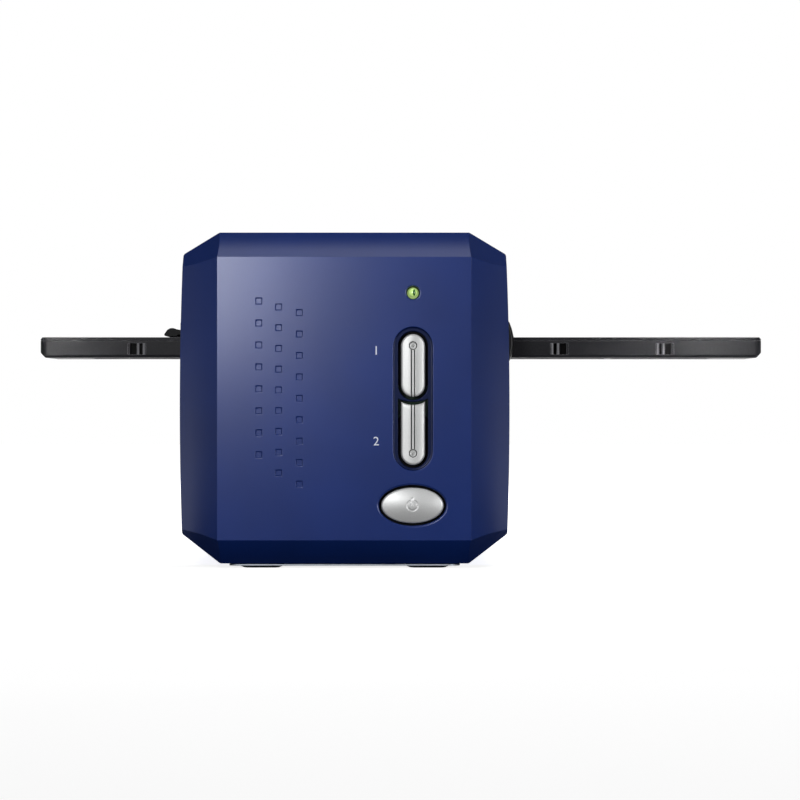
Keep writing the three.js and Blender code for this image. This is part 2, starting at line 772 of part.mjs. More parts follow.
function leftDoor() {
  const [axisX, axisZ] = leftDoorAxis();
  const restZ = holderTopZ + gap;
  const reach = door.left.reach;
  const { barrelRadius } = door;
  const slabShares = [0.33, 0.68, 0.85, 1];
  const [gapEnd, crest, shoulder, tip] = slabShares.map((share) => axisX - reach * share);
  const outline = shapeOf([
    [axisX, axisZ + gap],
    [gapEnd, axisZ + gap],
    [crest, axisZ + barrelRadius / 2],
    [shoulder, axisZ + barrelRadius / 2],
    [tip, restZ + gap + gap],
    [shoulder, restZ],
    [gapEnd - barrelRadius, restZ],
    [gapEnd - barrelRadius / 2, restZ + gap + gap],
    [axisX, restZ + gap + gap],
  ]);
  const slab = prism("y", outline, around(holderY, doorHalf));
  const barrel = rod("y", [axisX, axisZ], barrelRadius, around(holderY, doorHalf));
  const boreSpan = around(holderY, doorHalf + overrun);
  const bore = rod("y", [axisX, axisZ], door.pinRadius + gap, boreSpan, facets.coarse);
  return piece("dust_door_left", slab.add(barrel).subtract(bore), blackPlastic);
}

function rightDoor() {
  const [axisX, axisZ] = rightDoorAxis();
  const restZ = holderTopZ + gap;
  const { barrelRadius } = door;
  const { reach, thickness } = door.right;
  const outline = shapeOf([
    [axisX, restZ + thickness],
    [axisX - reach, restZ + thickness],
    [axisX - reach, restZ],
    [axisX, restZ],
    [axisX + barrelRadius, axisZ],
  ]);
  const slab = prism("y", outline, around(holderY, doorHalf));
  const barrel = rod("y", [axisX, axisZ], barrelRadius, around(holderY, doorHalf));
  const boreSpan = around(holderY, doorHalf + overrun);
  const bore = rod("y", [axisX, axisZ], door.pinRadius + gap, boreSpan, facets.coarse);
  return piece("dust_door_right", slab.add(barrel).subtract(bore), blackPlastic);
}

function doorPin(name, axis) {
  return piece(name, rod("y", axis, door.pinRadius, around(holderY, doorHalf + door.pinReach)), steel);
}

function buttonCap(shape, edge) {
  return prism("y", shape, [frontY - button.proud, flangeRearY], facets.medium, edge);
}

function pushButton(name, cap, flangeShape, stemZ) {
  const flange = prism("y", flangeShape, [flangeFrontY, flangeRearY]);
  const stem = rod("y", [button.x, stemZ], button.stemRadius, [flangeFrontY, stemEndY]);
  return piece(name, cap.add(flange).add(stem), silver);
}

function scanButtons() {
  const flangeHalf = button.halfWidth + button.flangeMargin;
  const [upperLow, upperHigh] = button.upper;
  const [lowerLow, lowerHigh] = button.lower;
  const { flangeMargin, halfWidth } = button;
  const upperFlange = [upperLow + flangeMargin, upperHigh + flangeMargin];
  const lowerFlange = [lowerLow - flangeMargin, lowerHigh - 2 * flangeMargin];
  const lowerCap = buttonCap(halfRacetrack(button.x, button.lower, halfWidth), button.edgeRound);
  const dipSpan = [frontY - overrun, flangeRearY + overrun];
  const powerFlange = [power.halfLength + power.flangeMargin, power.halfHeight + power.flangeMargin];
  return [
    pushButton(
      "scan_button_upper",
      buttonCap(racetrack(button.x, button.upper, halfWidth), button.edgeRound),
      racetrack(button.x, upperFlange, flangeHalf),
      (upperLow + upperHigh) / 2,
    ),
    pushButton(
      "scan_button_lower",
      lowerCap.subtract(dipCutter(button.x, lowerHigh, halfWidth, button.dip, dipSpan)),
      racetrack(button.x, lowerFlange, flangeHalf),
      (lowerLow + lowerHigh) / 2,
    ),
    pushButton(
      "power_button",
      buttonCap(oval(power.x, power.z, power.halfLength, power.halfHeight), power.edgeRound),
      oval(power.x, power.z, ...powerFlange),
      power.z,
    ),
  ];
}

function switchPlaces() {
  return [
    ["upper", (button.upper[0] + button.upper[1]) / 2],
    ["lower", (button.lower[0] + button.lower[1]) / 2],
    ["power", power.z],
  ];
}

function switches() {
  const half = keySwitch.size / 2;
  return switchPlaces().flatMap(([name, z]) => {
    const plungerEndY = plungerFrontY + keySwitch.plungerLength;
    const centre = [button.x, z];
    const pocket = rod("y", centre, keySwitch.plungerRadius + gap, [
      switchFrontY - overrun,
      plungerEndY + keySwitch.stroke,
    ]);
    const span = [switchFrontY, switchFrontY + keySwitch.depth];
    const housing = block(around(button.x, half), span, around(z, half));
    const plunger = rod("y", centre, keySwitch.plungerRadius, [plungerFrontY, plungerEndY]);
    return [
      piece(`${name}_switch`, housing.subtract(pocket), blackPlastic),
      piece(`${name}_switch_plunger`, plunger, cream),
    ];
  });
}

function buttonBoard() {
  const span = [boardFrontY, boardRearY];
  const heights = [power.z - board.lowMargin, led.z + board.highMargin];
  let plate = block(around(button.x, board.halfWidth), span, heights);
  for (const centre of boardPosts()) {
    plate = plate.subtract(rod("y", centre, boardScrew.holeRadius, [boardFrontY - gap, boardRearY + gap]));
  }
  return piece("button_board", plate, circuit);
}

function boardScrews() {
  const headY = boardRearY + gap;
  const [lowLeft, , , highRight] = boardPosts();
  return [lowLeft, highRight].map((centre, index) => {
    const head = rod("y", centre, boardScrew.headRadius, [headY, headY + boardScrew.head]);
    const shank = rod("y", centre, boardScrew.shankRadius, [headY - boardScrew.shank, headY + gap]);
    return piece(`board_screw_${index + 1}`, head.add(shank), steel);
  });
}

function statusLed() {
  const tipY = frontY - led.proud;
  const rearLedY = boardFrontY - gap;
  const profile = [new THREE.Vector2(0, tipY)];
  for (let step = 1; step <= facets.coarse; step += 1) {
    const angle = (Math.PI / 2) * (step / facets.coarse);
    profile.push(new THREE.Vector2(led.radius * Math.sin(angle), tipY + led.radius * (1 - Math.cos(angle))));
  }
  profile.push(new THREE.Vector2(led.radius, rearLedY - led.flange));
  profile.push(new THREE.Vector2(led.flangeRadius, rearLedY - led.flange));
  profile.push(new THREE.Vector2(led.flangeRadius, rearLedY));
  profile.push(new THREE.Vector2(0, rearLedY));
  const lathe = new THREE.LatheGeometry(profile, 2 * facets.medium);
  lathe.translate(led.x, 0, led.z);
  return piece("status_led", solidOf(lathe), greenLens);
}

function pillarPlaces() {
  const half = railOuter - chassis.pillar / 2;
  return [-pillarX, pillarX].flatMap((x) => around(holderY, half).map((y) => [x, y]));
}

function chassisFrame() {
  const deck = [chassisLowZ, deckZ];
  let frame = block([-chassisHalf, chassisHalf], [frontUprightY, rearY - chassis.rear - gap], deck);
  const uprightTopZ = deckZ + chassis.uprightHeight;
  for (const y of [frontUprightY, rearUprightY]) {
    const span = [y, y + chassis.upright];
    frame = frame.add(block(around(0, chassis.uprightHalf), span, [chassisLowZ, uprightTopZ]));
  }
  for (const [x, y] of pillarPlaces()) {
    const half = chassis.pillar / 2;
    frame = frame.add(block(around(x, half), around(y, half), [chassisLowZ, channelLowZ - gap]));
  }
  const rodSpan = [frontUprightY - overrun, rearUprightY + chassis.upright + overrun];
  for (const x of around(gate.x, rods.spread)) {
    frame = frame.subtract(rod("y", [x, rodZ], rods.radius + gap, rodSpan));
  }
  const screwSpan = [rearUprightY - overrun, rearUprightY + chassis.upright + overrun];
  frame = frame.subtract(rod("y", [gate.x, screwZ], drive.screwRadius + gap, screwSpan));
  for (const centre of baseScrewPlaces()) {
    frame = frame.subtract(rod("z", centre, screwShank.hole, [chassisLowZ - overrun, deckZ + overrun]));
  }
  return piece("chassis", frame, steel);
}

function guideRods() {
  const span = [frontUprightY + rods.ends, rearUprightY + chassis.upright - rods.ends];
  const [leftX, rightX] = around(gate.x, rods.spread);
  return [
    piece("guide_rod_left", rod("y", [leftX, rodZ], rods.radius, span), steel),
    piece("guide_rod_right", rod("y", [rightX, rodZ], rods.radius, span), steel),
  ];
}

function gateWindow(span) {
  return block(around(gate.x, gate.length / 2), around(holderY, gate.width / 2), span);
}

// The recess of the station at the gate, measured across from the frame's middle
function detentX() {
  return gate.x - station.recessStart - station.recessWidth / 2;
}

// The spring's middle height, above the stations' lower edge
function detentZ() {
  return holderLowZ + station.lowMargin + detent.rise;
}

function lowerChannel() {
  const length = [-channelHalf, channelHalf];
  let trough = block(length, around(holderY, railOuter), [channelLowZ, channelTopZ]);
  for (const hand of [-1, 1]) {
    const middle = holderY + hand * (railInner + channel.railWidth / 2);
    trough = trough.add(block(length, around(middle, channel.railWidth / 2), [channelLowZ, railTopZ]));
  }
  trough = trough.subtract(gateWindow([channelLowZ - overrun, channelTopZ + overrun]));
  const frontRail = [holderY - railOuter - overrun, holderY - railInner + gap];
  const springWindow = around(detentZ(), detent.windowHeight / 2);
  trough = trough.subtract(block(around(detentX(), detent.windowHalf), frontRail, springWindow));
  return piece("film_channel_lower", trough, blackPlastic);
}

function upperChannel() {
  const length = [-channelHalf, channelHalf - channel.rightTrim];
  const cover = block(length, around(holderY, railOuter), [coverLowZ, coverTopZ]);
  const window = gateWindow([coverLowZ - overrun, coverTopZ + overrun]);
  return piece("film_channel_upper", cover.subtract(window), blackPlastic);
}

function detentSpring() {
  const middle = detentX();
  const outerY = holderY - railOuter - gap - detent.thickness;
  const innerY = outerY + detent.thickness;
  const tipY = holderY - holderHalf + detent.reachIn;
  const { halfLength, bumpHalf, thickness } = detent;
  const outline = shapeOf([
    [middle - halfLength, outerY],
    [middle - bumpHalf, outerY],
    [middle, tipY - 2 * thickness],
    [middle + bumpHalf, outerY],
    [middle + halfLength, outerY],
    [middle + halfLength, innerY],
    [middle + bumpHalf + thickness, innerY],
    [middle, tipY],
    [middle - bumpHalf - thickness, innerY],
    [middle - halfLength, innerY],
  ]);
  const span = around(detentZ(), detent.height / 2);
  return piece("detent_spring", prism("z", outline, span), steel);
}

function lampPieces() {
  const high = lampLowZ + lamp.height;
  const outer = block(around(gate.x, lamp.halfLength), around(holderY, lamp.halfWidth), [lampLowZ, high]);
  const innerLength = lamp.halfLength - lamp.wall;
  const innerWidth = lamp.halfWidth - lamp.wall;
  const ceiling = high - lamp.wall;
  const hollowHeights = [lampLowZ - overrun, ceiling];
  const hollow = block(around(gate.x, innerLength), around(holderY, innerWidth), hollowHeights);
  const across = around(holderY, innerWidth - gap);
  const along = around(gate.x, innerLength - gap);
  const diffuser = block(along, across, [lampLowZ, lampLowZ + lamp.diffuser]);
  const boardTop = ceiling - gap;
  const boardLow = boardTop - lamp.board;
  let lampBoard = block(along, across, [boardLow, boardTop]);
  const { chip } = lamp;
  for (let index = 0; index < chip.count; index += 1) {
    const x = gate.x + (index - (chip.count - 1) / 2) * chip.pitch;
    const heights = [boardLow - chip.height, boardTop];
    const lampChip = block(around(x, chip.size / 2), around(holderY, chip.size / 2), heights);
    lampBoard = lampBoard.add(lampChip);
  }
  return [
    piece("lamp_housing", outer.subtract(hollow), cream),
    piece("lamp_diffuser", diffuser, opal),
    piece("lamp_board", lampBoard, circuit),
  ];
}

function carriageFrame() {
  const length = [homeY - scan.frontReach, homeY + scan.rearReach];
  const breadth = around(gate.x, scan.halfWidth);
  const wallTopZ = carriageTopZ + scan.wallHeight;
  let frame = block(breadth, length, [carriageZ, wallTopZ]);
  const inside = around(gate.x, scan.halfWidth - scan.wall);
  const open = [length[0] - overrun, length[1] + overrun];
  frame = frame.subtract(block(inside, open, [carriageTopZ, wallTopZ + overrun]));
  const wedgeDrop = (mirrorSize.thickness / 2 + gap) * Math.SQRT2;
  const wedgeFoot = homeY + opticalZ - carriageTopZ - wedgeDrop;
  const wedgeBackY = homeY - mirrorSize.wedgeReach;
  const rootZ = carriageTopZ - gap;
  const wedge = shapeOf([
    [wedgeBackY, rootZ],
    [wedgeFoot + gap, rootZ],
    [wedgeBackY, opticalZ - wedgeDrop + mirrorSize.wedgeReach],
  ]);
  frame = frame.add(prism("x", wedge, around(gate.x, mirrorSize.wedgeHalf)));
  const cradleSpan = [homeY + lensSize.start, homeY + lensSize.start + lensSize.length];
  const cradleBlock = block(around(gate.x, lensSize.cradleHalf), cradleSpan, [rootZ, opticalZ]);
  const groove = rod("y", [gate.x, opticalZ], lensSize.radius + gap, open, facets.fine);
  frame = frame.add(cradleBlock.subtract(groove));
  const backY = homeY + scan.rearWall.offset;
  const [windowLength, windowHeight] = scan.rearWall.window;
  const backTopZ = carriageTopZ + scan.rearWall.height;
  const backBreadth = around(gate.x, scan.halfWidth - scan.wall / 2);
  let back = block(backBreadth, [backY, backY + scan.wall], [rootZ, backTopZ]);
  back = back.subtract(block(around(gate.x, windowLength / 2), open, around(opticalZ, windowHeight / 2)));
  frame = frame.add(back);
  for (const x of around(gate.x, rods.spread)) {
    for (const start of [length[0], backY - scan.lug.length]) {
      const low = rodZ - scan.lug.half;
      const lug = block(around(x, scan.lug.half), [start, start + scan.lug.length], [low, carriageTopZ]);
      frame = frame.add(lug);
    }
    frame = frame.subtract(rod("y", [x, rodZ], rods.radius + gap, open));
  }
  const flagStart = length[0] + flag.inset;
  const flagSpan = [flagStart, flagStart + flag.length];
  const flagHeights = [carriageZ - flag.drop, carriageTopZ];
  frame = frame.add(block(around(flag.x, flag.thickness / 2), flagSpan, flagHeights));
  return piece("carriage_frame", frame, blackPlastic);
}

function mirror() {
  const box = new THREE.BoxGeometry(mirrorSize.length, mirrorSize.width, mirrorSize.thickness);
  const mesh = piece("mirror", solidOf(box), mirrorFinish);
  mesh.rotation.x = -Math.PI / 4;
  mesh.position.set(gate.x, homeY, opticalZ);
  return mesh;
}

function lensPieces() {
  const start = homeY + lensSize.start;
  const centre = [gate.x, opticalZ];
  const span = [start, start + lensSize.length];
  let barrel = rod("y", centre, lensSize.radius, span, facets.fine);
  const through = [start - overrun, span[1] + overrun];
  barrel = barrel.subtract(rod("y", centre, lensSize.bore, through, facets.fine));
  const seat = [start - overrun, start + lensSize.seatDepth];
  barrel = barrel.subtract(rod("y", centre, lensSize.seatRadius, seat, facets.fine));
  const glassRearY = start + lensSize.seatDepth - gap;
  const edgeFrontY = glassRearY - lensSize.glassEdge;
  const profile = [new THREE.Vector2(0, edgeFrontY - lensSize.glassCrown)];
  for (let step = 1; step < facets.coarse; step += 1) {
    const share = step / facets.coarse;
    profile.push(
      new THREE.Vector2(lensSize.glassRadius * share, edgeFrontY - lensSize.glassCrown * (1 - share * share)),
    );
  }
  profile.push(new THREE.Vector2(lensSize.glassRadius, edgeFrontY));
  profile.push(new THREE.Vector2(lensSize.glassRadius, glassRearY));
  profile.push(new THREE.Vector2(0, glassRearY));
  const lens = new THREE.LatheGeometry(profile, 2 * facets.medium);
  lens.translate(gate.x, 0, opticalZ);
  return [piece("lens_barrel", barrel, blackPlastic), piece("lens", solidOf(lens), glass)];
}

function imageSensorBoard() {
  const backY = homeY + scan.rearWall.offset + scan.wall + gap;
  const lowZ = carriageTopZ + sensorBoard.lowMargin;
  const [chipLength, chipHeight, chipDepth] = sensorBoard.chip;
  const plate = block(
    around(gate.x, sensorBoard.halfWidth),
    [backY, backY + board.thickness],
    [lowZ, lowZ + sensorBoard.height],
  );
  const chip = block(
    around(gate.x, chipLength / 2),
    [backY - chipDepth, backY + gap],
    around(opticalZ, chipHeight / 2),
  );
  return piece("image_sensor_board", plate.add(chip), circuit);
}

function leadNut() {
  const start = homeY + drive.nut.start;
  const span = [start, start + drive.nut.length];
  const nutBlock = block(around(gate.x, drive.nut.half), span, [screwZ - drive.nut.below, carriageZ - gap]);
  const bore = rod("y", [gate.x, screwZ], drive.screwRadius + gap, [span[0] - overrun, span[1] + overrun]);
  return piece("lead_nut", nutBlock.subtract(bore), cream);
}

function motorFrontY() {
  return rearUprightY + chassis.upright + gap;
}

function leadScrew() {
  const start = homeY + drive.bearing.start + gap;
  const end = motorFrontY() + drive.motorBore - gap;
  return piece("lead_screw", rod("y", [gate.x, screwZ], drive.screwRadius, [start, end]), steel);
}

function screwBearing() {
  const start = homeY + drive.bearing.start;
  const span = [start, start + drive.bearing.length];
  const { half, above } = drive.bearing;
  const housing = block(around(gate.x, half), span, [deckZ + gap, screwZ + above]);
  const bore = rod("y", [gate.x, screwZ], drive.screwRadius + gap, [span[0] - overrun, span[1] + overrun]);
  return piece("screw_bearing", housing.subtract(bore), cream);
}

function scanMotor() {
  const start = motorFrontY();
  const can = rod("y", [gate.x, screwZ], drive.motorRadius, [start, start + drive.motorLength], facets.fine);
  const boreSpan = [start - overrun, start + drive.motorBore];
  const bore = rod("y", [gate.x, screwZ], drive.screwRadius + gap, boreSpan);
  return piece("scan_motor", can.subtract(bore), steel);
}

function homeSensor() {
  const start = homeY - scan.frontReach + flag.inset - (fork.length - flag.length) / 2;
  const span = [start, start + fork.length];
  const low = deckZ + gap;
  const forkBlock = block(around(flag.x, fork.halfWidth), span, [low, low + fork.height]);
  const slotSpan = [span[0] - overrun, span[1] + overrun];
  const slot = block(around(flag.x, fork.slot / 2), slotSpan, [low + fork.base, low + fork.height + overrun]);
  return piece("home_sensor", forkBlock.subtract(slot), blackPlastic);
}

function mainBoardPlate() {
  const heights = [mainBoard.lowZ, mainBoard.highZ];
  const plate = block(around(0, mainBoardHalf), [mainBoardY, mainBoardRearY], heights);
  return piece("main_board", plate, circuit);
}

function usbSocket() {
  const { usb, proud } = rear;
  const span = [mainBoardRearY + gap, rearY + proud];
  const shell = block(around(usb.x, usb.width / 2), span, around(usb.z, usb.height / 2));
  const mouthSpan = [span[1] - usb.mouthDepth, span[1] + overrun];
  const mouth = block(
    around(usb.x, usb.width / 2 - usb.shell),
    mouthSpan,
    around(usb.z, usb.height / 2 - usb.shell),
  );
  const [tongueWidth, tongueHeight] = usb.tongue;
  const tongue = block(
    around(usb.x, tongueWidth / 2),
    [mouthSpan[0] - gap, span[1] - usb.shell],
    around(usb.z, tongueHeight / 2),
  );
  return piece("usb_socket", shell.subtract(mouth).add(tongue), steel);
}

function powerInlet() {
  const inlet = rear.power;
  const span = [mainBoardRearY + gap, rearY + rear.proud];
  const centre = [inlet.x, inlet.z];
  const shell = block(around(inlet.x, inlet.width / 2), span, around(inlet.z, inlet.height / 2));
  const boreStart = span[1] - inlet.boreDepth;
  const bore = rod("y", centre, inlet.boreRadius, [boreStart, span[1] + overrun], facets.fine);
  const pin = rod("y", centre, inlet.pinRadius, [boreStart - gap, span[1] - inlet.pinRadius], facets.coarse);
  return piece("power_inlet", shell.subtract(bore).add(pin), blackPlastic);
}

// A thin strip along a curve in the side view
function ribbonCable() {
  const startY = homeY + scan.rearWall.offset + scan.wall + board.thickness + 2 * gap;
  const endY = mainBoardY - gap;
  const startZ = opticalZ + ribbon.startRise;
  const centreAt = (t) => {
    const ease = t * t * (3 - 2 * t);
    const z = THREE.MathUtils.lerp(startZ, ribbon.endZ, ease) - ribbon.sag * Math.sin(2 * Math.PI * t);
    return [THREE.MathUtils.lerp(startY, endY, t), z];
  };
  const upper = [];
  const lower = [];
  for (let step = 0; step <= ribbon.steps; step += 1) {
    const [y, z] = centreAt(step / ribbon.steps);
    upper.push([y, z + ribbon.thickness / 2]);
    lower.push([y, z - ribbon.thickness / 2]);
  }
  const strip = prism("x", shapeOf([...lower, ...upper.reverse()]), around(gate.x, ribbon.halfWidth));
  return piece("ribbon_cable", strip, cream);
}

// Places a pitch apart, spread evenly about the middle
function evenPlaces(count, pitch) {
  const first = (-(count - 1) / 2) * pitch;
  return Array.from({ length: count }, (unused, index) => first + index * pitch);
}

function frameCentres() {
  return evenPlaces(holder.frameCount, holder.framePitch);
}

function holderPlan(margin, [low, high]) {
  const outline = roundedRectangle(
    around(0, holder.length / 2 - margin),
    around(holderY, holderHalf - margin),
    holder.cornerRadius,
  );
  return prism("z", outline, [low, high], facets.coarse);
}

// Cuts along the lower long edges and, larger, across the lower ends
function holderChamfers() {
  const length = around(0, holder.length);
  const { edgeChamfer, endChamfer } = holder;
  const cuts = [];
  for (const hand of [-1, 1]) {
    const edgeY = holderY + hand * holderHalf;
    const wedge = shapeOf([
      [edgeY - hand * edgeChamfer, holderLowZ - gap],
      [edgeY + hand * edgeChamfer, holderLowZ - gap],
      [edgeY + hand * edgeChamfer, holderLowZ + edgeChamfer],
      [edgeY, holderLowZ + edgeChamfer],
      [edgeY - hand * edgeChamfer, holderLowZ],
    ]);
    cuts.push(prism("x", wedge, length));
    const endX = (hand * holder.length) / 2;
    const endWedge = shapeOf([
      [endX - hand * endChamfer, holderLowZ - gap],
      [endX + hand * endChamfer, holderLowZ - gap],
      [endX + hand * endChamfer, holderLowZ + endChamfer],
      [endX, holderLowZ + endChamfer],
      [endX - hand * endChamfer, holderLowZ],
    ]);
    cuts.push(prism("y", endWedge, around(holderY, holder.width)));
  }
  return cuts;
}

function hingeLine() {
  return [holderY + holderHalf - lidHinge.fromRear, lidLowZ - lidHinge.belowLid];
}

function knuckleCentres() {
  return evenPlaces(lidHinge.knuckleCount, lidHinge.knucklePitch);
}

function hingePinSpan() {
  const centres = knuckleCentres();
  const end = centres[centres.length - 1] + lidHinge.knuckle.length / 2 + lidHinge.pinOverhang;
  return [-end, end];
}

function stationCuts() {
  const frontEdgeY = holderY - holderHalf;
  const heights = [holderLowZ + station.lowMargin, holderLowZ + station.lowMargin + station.height];
  return frameCentres().flatMap((centre) => {
    const hand = Math.sign(centre);
    const at = (offset) => centre + hand * offset;
    const slotX = [at(station.slotStart), at(station.slotStart + station.slotWidth)].sort((a, b) => a - b);
    const slot = block(slotX, [frontEdgeY - overrun, frontEdgeY + station.slotDepth], heights);
    const recessEnd = station.recessStart + station.recessWidth;
    const recess = shapeOf([
      [at(station.recessStart), frontEdgeY - gap],
      [at(station.recessStart), frontEdgeY + station.recessDepth],
      [at(recessEnd), frontEdgeY + station.recessDepth],
      [at(recessEnd + station.rampWidth), frontEdgeY],
      [at(recessEnd + station.rampWidth), frontEdgeY - gap],
    ]);
    return [slot, prism("z", recess, heights)];
  });
}

function holderTray() {
  let tray = holderPlan(0, [holderLowZ, trayTopZ]);
  for (const cut of [...holderChamfers(), ...stationCuts()]) {
    tray = tray.subtract(cut);
  }
  const deckTopZ = holderLowZ + holder.deck;
  const open = [deckTopZ, holderTopZ];
  const pocketLength = around(0, holder.length / 2 - holder.endWall);
  tray = tray.subtract(block(pocketLength, around(holderY, holderHalf - holder.frameWall), open));
  for (const x of frameCentres()) {
    const { length, width } = holder.window;
    tray = tray.subtract(block(around(x, length / 2), around(holderY, width / 2), [0, holderTopZ]));
  }
  const [pinY, pinZ] = hingeLine();
  const { length, depth, drop } = lidHinge.knuckle;
  for (const x of knuckleCentres()) {
    const reach = [pinY - depth / 2 - gap, holderY + holder.width];
    tray = tray.subtract(block(around(x, length / 2 + gap), reach, [lidLowZ - drop - gap, holderTopZ]));
  }
  tray = tray.subtract(rod("x", [pinY, pinZ], lidHinge.pinRadius + gap, hingePinSpan(), facets.coarse));
  return piece("holder_tray", tray, darkPlastic);
}

function holderLid() {
  let lid = holderPlan(0, [lidLowZ, holderTopZ]);
  const frameLength = around(0, holder.length / 2 - holder.endWall - gap);
  const frameWidth = around(holderY, holderHalf - holder.frameWall - gap);
  lid = lid.add(block(frameLength, frameWidth, [lidLowZ - holder.lidReach, lidLowZ + gap]));
  for (const x of frameCentres()) {
    const { length, width } = holder.window;
    lid = lid.subtract(block(around(x, length / 2), around(holderY, width / 2), [0, body.height]));
  }
  const [pinY, pinZ] = hingeLine();
  const { length, depth, drop } = lidHinge.knuckle;
  for (const x of knuckleCentres()) {
    lid = lid.add(block(around(x, length / 2), around(pinY, depth / 2), [lidLowZ - drop, lidLowZ + gap]));
  }
  const bore = rod("x", [pinY, pinZ], lidHinge.pinRadius + gap, around(0, holder.length), facets.coarse);
  return piece("holder_lid", lid.subtract(bore), darkPlastic);
}

function holderHingePin() {
  const [low, high] = hingePinSpan();
  const pin = rod("x", hingeLine(), lidHinge.pinRadius, [low + gap, high - gap], facets.coarse);
  return piece("holder_hinge_pin", pin, steel);
}

const scanner = new THREE.Group();
scanner.position.x = body.centreX;
scanner.add(frontPanel(), topCover(), bottomCover(), rearPanel(), ...rearScrews());
scanner.add(basePlate(), ...feet(), ...baseScrews());
scanner.add(leftBezel(), rightBezel(), leftDoor(), rightDoor());
scanner.add(doorPin("door_pin_left", leftDoorAxis()), doorPin("door_pin_right", rightDoorAxis()));
scanner.add(...scanButtons(), ...switches(), buttonBoard(), ...boardScrews(), statusLed());
scanner.add(chassisFrame(), ...guideRods(), lowerChannel(), upperChannel(), detentSpring());
scanner.add(...lampPieces(), scanMotor(), screwBearing(), leadScrew(), homeSensor());
scanner.add(mainBoardPlate(), usbSocket(), powerInlet(), ribbonCable());

const carriage = new THREE.Group();
carriage.add(carriageFrame(), mirror(), ...lensPieces(), imageSensorBoard(), leadNut());
scanner.add(carriage);

const filmHolder = new THREE.Group();
filmHolder.add(holderTray(), holderLid(), holderHingePin());

const group = new THREE.Group();
group.add(scanner, filmHolder);

export default group;
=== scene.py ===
"""Visual model of a desktop film negative scanner with its film holder run in.

The housing, its controls, the film holder, the dust doors and the fasteners are modelled here as fine
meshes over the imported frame. What lies deep inside keeps the frame's shape and gets a finish.

Drafts are drawn in millimetres, in the housing's own frame: x = 0 is the housing's middle, the front face
looks towards -Y and z = 0 is the floor.
"""

from __future__ import annotations

import json
import logging
import math
from dataclasses import dataclass
from enum import Enum
from typing import Callable, Sequence

import bmesh
import bpy
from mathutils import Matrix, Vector

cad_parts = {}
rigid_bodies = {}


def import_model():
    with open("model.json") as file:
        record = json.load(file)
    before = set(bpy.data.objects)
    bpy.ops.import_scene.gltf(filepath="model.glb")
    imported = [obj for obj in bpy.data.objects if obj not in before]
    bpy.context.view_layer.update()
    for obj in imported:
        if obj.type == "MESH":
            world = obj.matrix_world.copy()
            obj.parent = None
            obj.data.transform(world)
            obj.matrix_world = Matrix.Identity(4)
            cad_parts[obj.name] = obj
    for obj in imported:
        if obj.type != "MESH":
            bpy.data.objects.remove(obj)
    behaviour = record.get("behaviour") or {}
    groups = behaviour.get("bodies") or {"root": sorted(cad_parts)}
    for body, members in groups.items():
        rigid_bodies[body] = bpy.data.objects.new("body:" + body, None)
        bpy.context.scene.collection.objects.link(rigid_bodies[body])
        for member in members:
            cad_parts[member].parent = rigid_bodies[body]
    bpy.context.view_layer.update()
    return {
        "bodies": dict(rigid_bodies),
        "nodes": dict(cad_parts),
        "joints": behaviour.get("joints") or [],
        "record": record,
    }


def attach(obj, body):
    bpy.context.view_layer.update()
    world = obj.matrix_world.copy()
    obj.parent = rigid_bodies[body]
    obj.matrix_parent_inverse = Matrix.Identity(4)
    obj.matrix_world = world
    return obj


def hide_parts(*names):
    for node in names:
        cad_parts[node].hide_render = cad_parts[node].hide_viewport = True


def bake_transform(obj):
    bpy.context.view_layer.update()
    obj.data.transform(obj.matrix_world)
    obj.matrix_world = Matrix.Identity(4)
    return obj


log = logging.getLogger("film_scanner")

Point = tuple[float, float]
Span = tuple[float, float]
Place = tuple[float, float, float]
Edge = bmesh.types.BMEdge
EdgeTest = Callable[[Edge], bool]
Material = bpy.types.Material
Socket = bpy.types.NodeSocket
Inputs = dict[str | int, object]

MILLIMETRE = 0.001
HOUSING_X = -20.0
FACE_Y = -135.0
# Key faces behind this level sit in the gap round the key and get painted shade.
PAINTED_SHADE_LEVEL = -134.2
GAP = 0.3
OVERRUN = 2.0
NEAR = 1e-3
SMOOTH_LIMIT = math.radians(31)
SHARP = 30.0
CREASE = 9.0
FLAT_LIMIT = math.radians(0.05)
ROUNDING_SHARE = 0.45


class Axis(Enum):
    """The direction along which a drawing is pushed out or turned."""

    X = "x"
    Y = "y"
    Z = "z"

    def place(self, u: float, v: float, along: float) -> Vector:
        """Put a point of the drawing at a distance along the axis.

        Args:
            u: First coordinate in the drawing.
            v: Second coordinate in the drawing.
            along: Distance along the axis.

        Returns:
            The point in space.
        """
        if self is Axis.X:
            return Vector((along, u, v))
        if self is Axis.Y:
            return Vector((u, along, v))
        return Vector((u, v, along))


class Cut(Enum):
    """How one closed body acts on another."""

    TAKE = "DIFFERENCE"
    JOIN = "UNION"


def around(middle: float, half: float) -> Span:
    """The span of a half-size on both sides of a middle."""
    return (middle - half, middle + half)


def mirrored(place: Point) -> list[Point]:
    """A place and its images on the other sides of both middle lines, the front row first."""
    return [(x, y) for y in around(0, place[1]) for x in around(0, place[0])]


def mixed(low: float, high: float, share: float) -> float:
    """The value at a share of the way from low to high."""
    return low + (high - low) * share


def arc(centre: Point, radius: float, start: float, end: float, steps: int) -> list[Point]:
    """Points along an arc.

    Args:
        centre: Middle of the circle.
        radius: Radius of the circle.
        start: First angle, in degrees.
        end: Last angle, in degrees.
        steps: Number of straight steps.

    Returns:
        The points, both ends included.
    """
    points = []
    for step in range(steps + 1):
        angle = math.radians(mixed(start, end, step / steps))
        points.append((centre[0] + radius * math.cos(angle), centre[1] + radius * math.sin(angle)))
    return points


def circle(centre: Point, radius: float, steps: int = 32) -> list[Point]:
    """A closed circle."""
    return arc(centre, radius, 0, 360, steps)[:-1]


